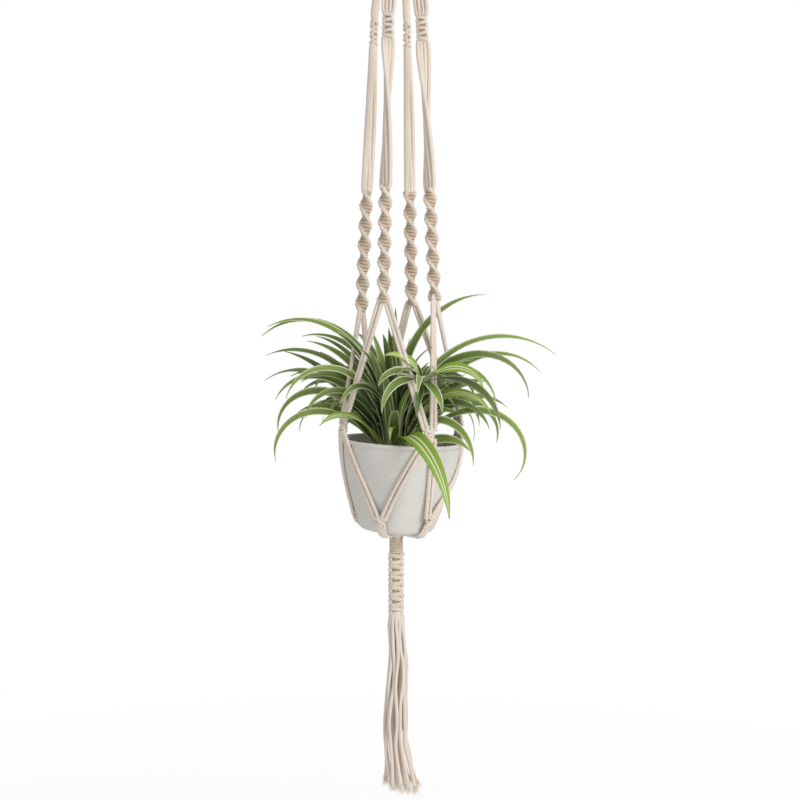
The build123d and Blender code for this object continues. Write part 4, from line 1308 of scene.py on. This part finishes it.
def keeps_clear(path, lines):
    """Whether a leaf's middle line stays clear of the cords and the pot's rim."""
    upright = pot_matrix.inverted()
    for point, _, _ in path:
        local = upright @ point
        if local.z < pot_height + 4 and local.to_2d().length > wall_radius(pot_height) - 9:
            return False
        for start, end, room in lines:
            run = end - start
            share = max(0.0, min(1.0, (point - start).dot(run) / run.length_squared))
            if (point - start - run * share).length < room:
                return False
    return True


class PLANTER_OT_plant(PlanterOperator, bpy.types.Operator):
    """Grows the spider plant: long arching leaves, a tuft of shorter ones, and an offset on its runner"""

    bl_idname = "planter.plant"
    bl_label = "Spider plant"

    def execute(self, context):
        plant = context.scene.planter_plant
        material = spider_leaf(context)
        chance = random.Random(11)
        for name, rows in leaves.items():
            mesh = leaf_mesh(rows, material, chance, plant.thickness, bright_leaves[name], pale_leaves[name])
            piece(f"long_{name}", mesh, "hanger", "leaf_green", name)

        lines = cord_lines()
        inner = []
        while len(inner) < plant.upright_leaves + plant.inner_leaves:
            # bounds of each size, in the order of the leaf table
            if len(inner) < plant.upright_leaves:
                bounds = ((0, 360), (1, 13), (80, 128), (82, 97), (40, 84), (12, 16), (-10, 10))
            else:
                bounds = ((0, 360), (2, 19), (75, 165), (58, 94), (-100, 24), (9, 13), (-14, 14))
            row = [chance.uniform(*bound) for bound in bounds]
            drooping = 215 < row[0] < 325 and row[4] < -5
            if not drooping and keeps_clear(leaf_path(*row[:5], row[6]), lines):
                inner.append(row)
        # painted shade for the inner mass: the upright leaves and the next 22 inner ones get low tones
        mesh = leaf_mesh(inner, material, chance, plant.thickness, shaded_count=plant.upright_leaves + 22)
        piece("inner_leaves", mesh, "hanger", "leaf_green")

        shoots = list(offset_leaves)
        for step in range(plant.plantlet_leaves):
            droop = chance.uniform(-80, 20)
            shoots.append((step * 137.5, 0, chance.uniform(28, 62), chance.uniform(20, 80), droop, 4.0, 25))
        base = arm_centre(arm_azimuths["front"], -650).lerp(Vector((36, -52, -650)), 0.85)
        plantlet = leaf_mesh(shoots, material, chance, plant.thickness, bright=(0, 1), start=base)
        rising = [in_pot(9, 300, soil_height + 8), in_pot(16, 300, soil_height + 60)]
        runner = rising + [base + Vector((-14, 10, 22)), base]
        stalk = cord_mesh(context, [runner], 2.0, leaf_bases())
        piece("plantlet", plantlet, "hanger", "leaf_green")
        piece("runner", stalk, "hanger", "leaf_green")
        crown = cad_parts["crown"]
        crown.data.materials.clear()
        crown.data.materials.append(leaf_bases())
        return {"FINISHED"}


# ---------------------------------------------------------------- tail and tassel
class PLANTER_OT_tail(PlanterOperator, bpy.types.Operator):
    """Binds the tail and ties its six chunky square knots"""

    bl_idname = "planter.tail"
    bl_label = "Tail"

    def execute(self, context):
        top, bottom = tail_pivot_z + 5.5, tail_wrap_bottom_z + 1.2
        steps = round((top - bottom) / tail_wrap_cord_d) * turn_points
        radius = tail_wrap_d / 2 - tail_wrap_cord_d / 2
        winding = [tail_middle + polar(4.5, 100, top - 1)]
        for step in range(steps + 1):
            level = top - (top - bottom) * step / steps
            winding.append(tail_middle + polar(radius, 100 - step * 360 / turn_points, level))
        winding.append(tail_middle + polar(4.5, 80, bottom + 1))
        core = [[tail_middle + polar(4.6, 45 * i, z) for z in (top - 3, bottom - 1)] for i in range(8)]
        # painted shade: the binding's winding is browned by half, and its core fully
        wound = cord_mesh(context, [winding], tail_wrap_cord_d, deep=0.5)
        wrap = joined(wound, cord_mesh(context, core, deep=1.0))
        piece("tail_binding", wrap, "tail", "cotton_cord", "tail_wrap")

        half_width, half_depth = (tail_width - double_cord_d) / 2 + 0.3, (tail_depth - double_cord_d) / 2
        knots = square_knots(half_width, half_depth, tail_knot_pitch / 2, tail_knots * 2, gap=0.85)
        length = tail_wrap_bottom_z - tail_bottom_z
        core = [[polar(3.2, 45 * i + 20, z) for z in (1, -length)] for i in range(8)]
        top = Matrix.Translation(Vector((tail_x, 0, tail_wrap_bottom_z)))
        # painted shade: the working cords are browned a little, and the core inside them fully
        working = cord_mesh(context, placed(knots, top), double_cord_d, deep=0.22)
        tied = joined(working, cord_mesh(context, placed(core, top), core_cord_d, deep=1.0))
        piece("tail_knots", tied, "tail", "cotton_cord", "tail_sinnet")
        return {"FINISHED"}


def strand_route(ring, start_azimuth, points):
    """Points of a free cord, from the underside of the tassel's head to its end."""
    route = [polar(ring, start_azimuth, tassel_top_z)]
    for (sway_x, sway_y), (azimuth, reach, drop) in zip(tassel_sway, points):
        spot = polar(reach, azimuth, tassel_top_z - drop) + Vector((sway_x, sway_y, 0))
        # limp cord hangs in shallow waves: a point between each two, a little aside
        lean = polar(strand_wave, azimuth * 5 + drop * 3)
        route += [(route[-1] + spot) / 2 + lean, spot - lean * 0.6]
    return [point + tail_middle for point in route]


class PLANTER_OT_tassel(PlanterOperator, bpy.types.Operator):
    """Hangs the sixteen cords of the tassel, with their frayed ends"""

    bl_idname = "planter.tassel"
    bl_label = "Tassel"

    def execute(self, context):
        cord = context.scene.planter_cord
        routes = [strand_route(strand_ring_outer, *strand) for strand in outer_strands]
        routes += [strand_route(strand_ring_inner, *strand) for strand in inner_strands]
        head = []
        for route in routes:
            start = route[0] - tail_middle
            drawn = [(0.62, tail_bottom_z + 7), (0.8, tail_bottom_z - 1)]
            above = [tail_middle + Vector((start.x * share, start.y * share, z)) for share, z in drawn]
            head.append(above + [route[0] + Vector((0, 0, 4)), route[0]])
        neck = cotton(context, "tassel_neck", head, "tassel_head", body=None)
        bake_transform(neck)

        for number, route in enumerate(routes, start=1):
            line = plain_mesh(path_object([route]))
            path = [tuple(vertex.co) for vertex in line.vertices]
            bpy.data.meshes.remove(line)
            # a cut cord opens towards its end
            girths = [1.08] * (len(route) - 2) + [1.16, 1.3]
            name, node = f"strand_{number:02d}", f"tassel_strand_{number:02d}"
            strand = cotton(context, name, [route], node, body="tassel", girths=girths)
            way = (Vector(path[-2]) - Vector(path[-1])).normalized()
            turn = Vector((0, 0, 1)).rotation_difference(way).to_matrix().to_4x4()
            at_end = Matrix.Translation(Vector(path[-1]) + way * 2 * MM) @ turn
            settings = {"Fibres": cord.fray_fibres, "Seed": number, "Material": loose_cotton()}
            fray = grown("fray", fray_tree(), settings, place=at_end)
            tuft = piece(f"frayed_end_{number:02d}", fray, "tassel", "cotton_cord")
        return {"FINISHED"}


# ---------------------------------------------------------------- stage
def floor_paint():
    """Matt white floor that stays close to the background's white and keeps a soft shadow."""
    material, tree, shader = material_with("white_floor", {"Base Color": linear("F4F4F4"), "Roughness": 1.0})
    seen = add_node(tree, "ShaderNodeLightPath").outputs["Is Camera Ray"]
    lit = add_node(tree, "ShaderNodeEmission", {"Color": (1, 1, 1, 1), "Strength": 1.0})
    place = add_node(tree, "ShaderNodeTexCoord").outputs["Object"]
    away = add_node(tree, "ShaderNodeVectorMath", (place,), operation="LENGTH")
    # near the object the floor keeps its shadow, and far off it is as white as the background
    fading = (away, 1.55, 2.4, 0.85, 1.0)
    fade = add_node(tree, "ShaderNodeMapRange", fading, interpolation_type="SMOOTHSTEP")
    share = add_node(tree, "ShaderNodeMath", (seen, fade), operation="MULTIPLY")
    mixed = add_node(tree, "ShaderNodeMixShader", (share, shader, lit))
    feed(tree, tree.nodes["Material Output"], {"Surface": mixed})
    return material


class PLANTER_OT_stage(PlanterOperator, bpy.types.Operator):
    """Sets the pale floor, the soft studio light and the camera"""

    bl_idname = "planter.stage"
    bl_label = "Stage"

    def execute(self, context):
        stage = context.scene.planter_stage
        scene = context.scene
        scene.view_settings.view_transform = "Standard"

        far, low = 4 / MM, stage.floor_z / MM
        corners = [Vector((x * far, y * far, low)) for x, y in ((-1, -1), (1, -1), (1, 1), (-1, 1))]
        floor = bpy.data.objects.new("floor", mesh_of(corners, [(0, 1, 2, 3)], floor_paint()))
        scene.collection.objects.link(floor)

        world = bpy.data.worlds.new("studio")
        scene.world = world
        world.use_nodes = True
        tree = world.node_tree
        tree.nodes.clear()
        # seen straight, through glass or in a reflection the background is white, whatever the ambient light
        rays = add_node(tree, "ShaderNodeLightPath").outputs
        shown = rays["Is Camera Ray"]
        for ray in ("Is Transmission Ray", "Is Glossy Ray"):
            shown = add_node(tree, "ShaderNodeMath", (shown, rays[ray]), operation="MAXIMUM")
        strength = add_node(tree, "ShaderNodeMapRange", (shown, 0.0, 1.0, stage.ambient, 1.0))
        sky = add_node(tree, "ShaderNodeBackground", {"Color": (1, 1, 1, 1), "Strength": strength})
        add_node(tree, "ShaderNodeOutputWorld", {"Surface": sky})

        # the object hangs below the origin; all lamps look at its middle
        aim = Vector((0, 0, -0.65))
        for name, place, size, power in (
            ("key_light", (1.5, -1.5, 0.2), 1.3, stage.key_power),
            ("fill_light", (-1.4, -1.9, -0.3), 1.6, stage.fill_power),
            ("back_light", (0.3, 1.8, 0.4), 1.4, stage.back_power),
        ):
            lamp = bpy.data.lights.new(name, "AREA")
            lamp.size = size
            lamp.energy = power
            light = bpy.data.objects.new(name, lamp)
            light.location = place
            light.rotation_euler = (aim - Vector(place)).to_track_quat("-Z", "Y").to_euler()
            scene.collection.objects.link(light)

        lens = bpy.data.cameras.new("camera")
        lens.sensor_width = 36.0
        lens.lens = 58.5
        camera = bpy.data.objects.new("camera", lens)
        camera.location = (0.0023, -1.482, -0.565)
        camera.rotation_euler = (math.radians(85.82), 0, 0)
        scene.collection.objects.link(camera)
        scene.camera = camera
        return {"FINISHED"}


# ---------------------------------------------------------------- settings, panel and registration
def length_setting(name, description, default, **limits):
    """A length that a user can set, in metres."""
    return FloatProperty(name=name, description=description, default=default, unit="LENGTH", **limits)


def number_setting(name, description, default, low=0, high=1000):
    """A number that a user can set, whole where its default is."""
    kind = IntProperty if isinstance(default, int) else FloatProperty
    return kind(name=name, description=description, default=default, min=low, max=high)


def colour_setting(name, description, code):
    """A colour that a user can set."""
    shades = {"default": linear(code), "subtype": "COLOR", "size": 4, "min": 0, "max": 1}
    return FloatVectorProperty(name=name, description=description, **shades)


class PlanterCord(bpy.types.PropertyGroup):
    """Cotton cord"""

    diameter: length_setting("Diameter", "Diameter of the cord", 0.004, min=0.001)
    braid_pitch: length_setting("Braid pitch", "Length of one crossing of the braid", 0.0031, min=0.001)
    step: length_setting("Step", "Length of a face along the cord", 0.0018, min=0.0005)
    sides: number_setting("Sides", "Faces round the cord", 10, 6, 24)
    fray_fibres: number_setting("Fibres", "Loose fibres at each frayed end", 110, 0, 200)
    light_colour: colour_setting("Light tone", "Lighter tone of the cotton", "F7ECE0")
    shade_colour: colour_setting("Deep tone", "Deeper tone of the cotton", "E6D6C6")
    # painted shade: the browner tone that hidden and crossing cords in the knots are mixed towards
    painted_shade_colour: colour_setting("Pulled tone", "Tone of cord pulled under in a knot", "B49A7D")


class PlanterPot(bpy.types.PropertyGroup):
    """Stoneware pot"""

    rib_spacing: length_setting("Rib spacing", "Distance between the combed ribs", 0.0042, min=0.001)
    rib_slant: number_setting("Rib slant", "Rise of the ribs, in degrees", 27.0, 0, 60)
    segments: number_setting("Segments", "Faces round the pot", 144, 24, 256)


class PlanterPlant(bpy.types.PropertyGroup):
    """Spider plant"""

    inner_leaves: number_setting("Inner leaves", "Number of shorter inner leaves", 64, 0, 120)
    upright_leaves: number_setting("Upright leaves", "Number of broad upright leaves", 18, 0, 40)
    plantlet_leaves: number_setting("Plantlet", "Leaves of the plantlet on its runner", 14, 0, 40)
    thickness: length_setting("Leaf thickness", "Thickness of a blade", 0.0004, min=0.0001)
    dark_green: colour_setting("Dark green", "Green of the older leaves", "243C12")
    light_green: colour_setting("Light green", "Green of the younger leaves", "768F45")
    cream: colour_setting("Cream", "Cream of the margins", "EEF0CC")


class PlanterStage(bpy.types.PropertyGroup):
    """Stage"""

    floor_z: length_setting("Floor height", "Height of the floor", -1.5)
    ambient: number_setting("Ambient", "Light from all round", 0.42)
    key_power: number_setting("Key", "Power of the key light, in watts", 32.0)
    fill_power: number_setting("Fill", "Power of the fill light, in watts", 7.0)
    back_power: number_setting("Back", "Power of the back light, in watts", 18.0)


class PLANTER_PT_panel(bpy.types.Panel):
    """Lists the pieces of the planter"""

    bl_idname = "PLANTER_PT_panel"
    bl_label = "Planter"
    bl_space_type = "VIEW_3D"
    bl_region_type = "UI"
    bl_category = "Planter"

    def draw(self, context):
        for settings, _ in groups:
            group = getattr(context.scene, settings)
            box = self.layout.box()
            for name in group.__annotations__:
                box.prop(group, name)
        for operator in operators:
            self.layout.operator(operator.bl_idname)


operators = (
    PLANTER_OT_stage,
    PLANTER_OT_tassel,
    PLANTER_OT_ring,
    PLANTER_OT_top,
    PLANTER_OT_sinnets,
    PLANTER_OT_cradle,
    PLANTER_OT_tail,
    PLANTER_OT_pot,
    PLANTER_OT_soil,
    PLANTER_OT_plant,
)
groups = (
    ("planter_cord", PlanterCord),
    ("planter_pot", PlanterPot),
    ("planter_plant", PlanterPlant),
    ("planter_stage", PlanterStage),
)


def register():
    """Registers the settings, operators and panel."""
    for name, group in groups:
        bpy.utils.register_class(group)
        setattr(bpy.types.Scene, name, PointerProperty(type=group))
    for operator in operators:
        bpy.utils.register_class(operator)
    bpy.utils.register_class(PLANTER_PT_panel)


def unregister():
    """Takes the settings, operators and panel away again."""
    bpy.utils.unregister_class(PLANTER_PT_panel)
    for operator in reversed(operators):
        bpy.utils.unregister_class(operator)
    for name, group in reversed(groups):
        delattr(bpy.types.Scene, name)
        bpy.utils.unregister_class(group)


def main():
    """Builds every piece in order."""
    register()
    for operator in operators:
        group, name = operator.bl_idname.split(".")
        getattr(getattr(bpy.ops, group), name)()


if __name__ == "__main__":
    main()
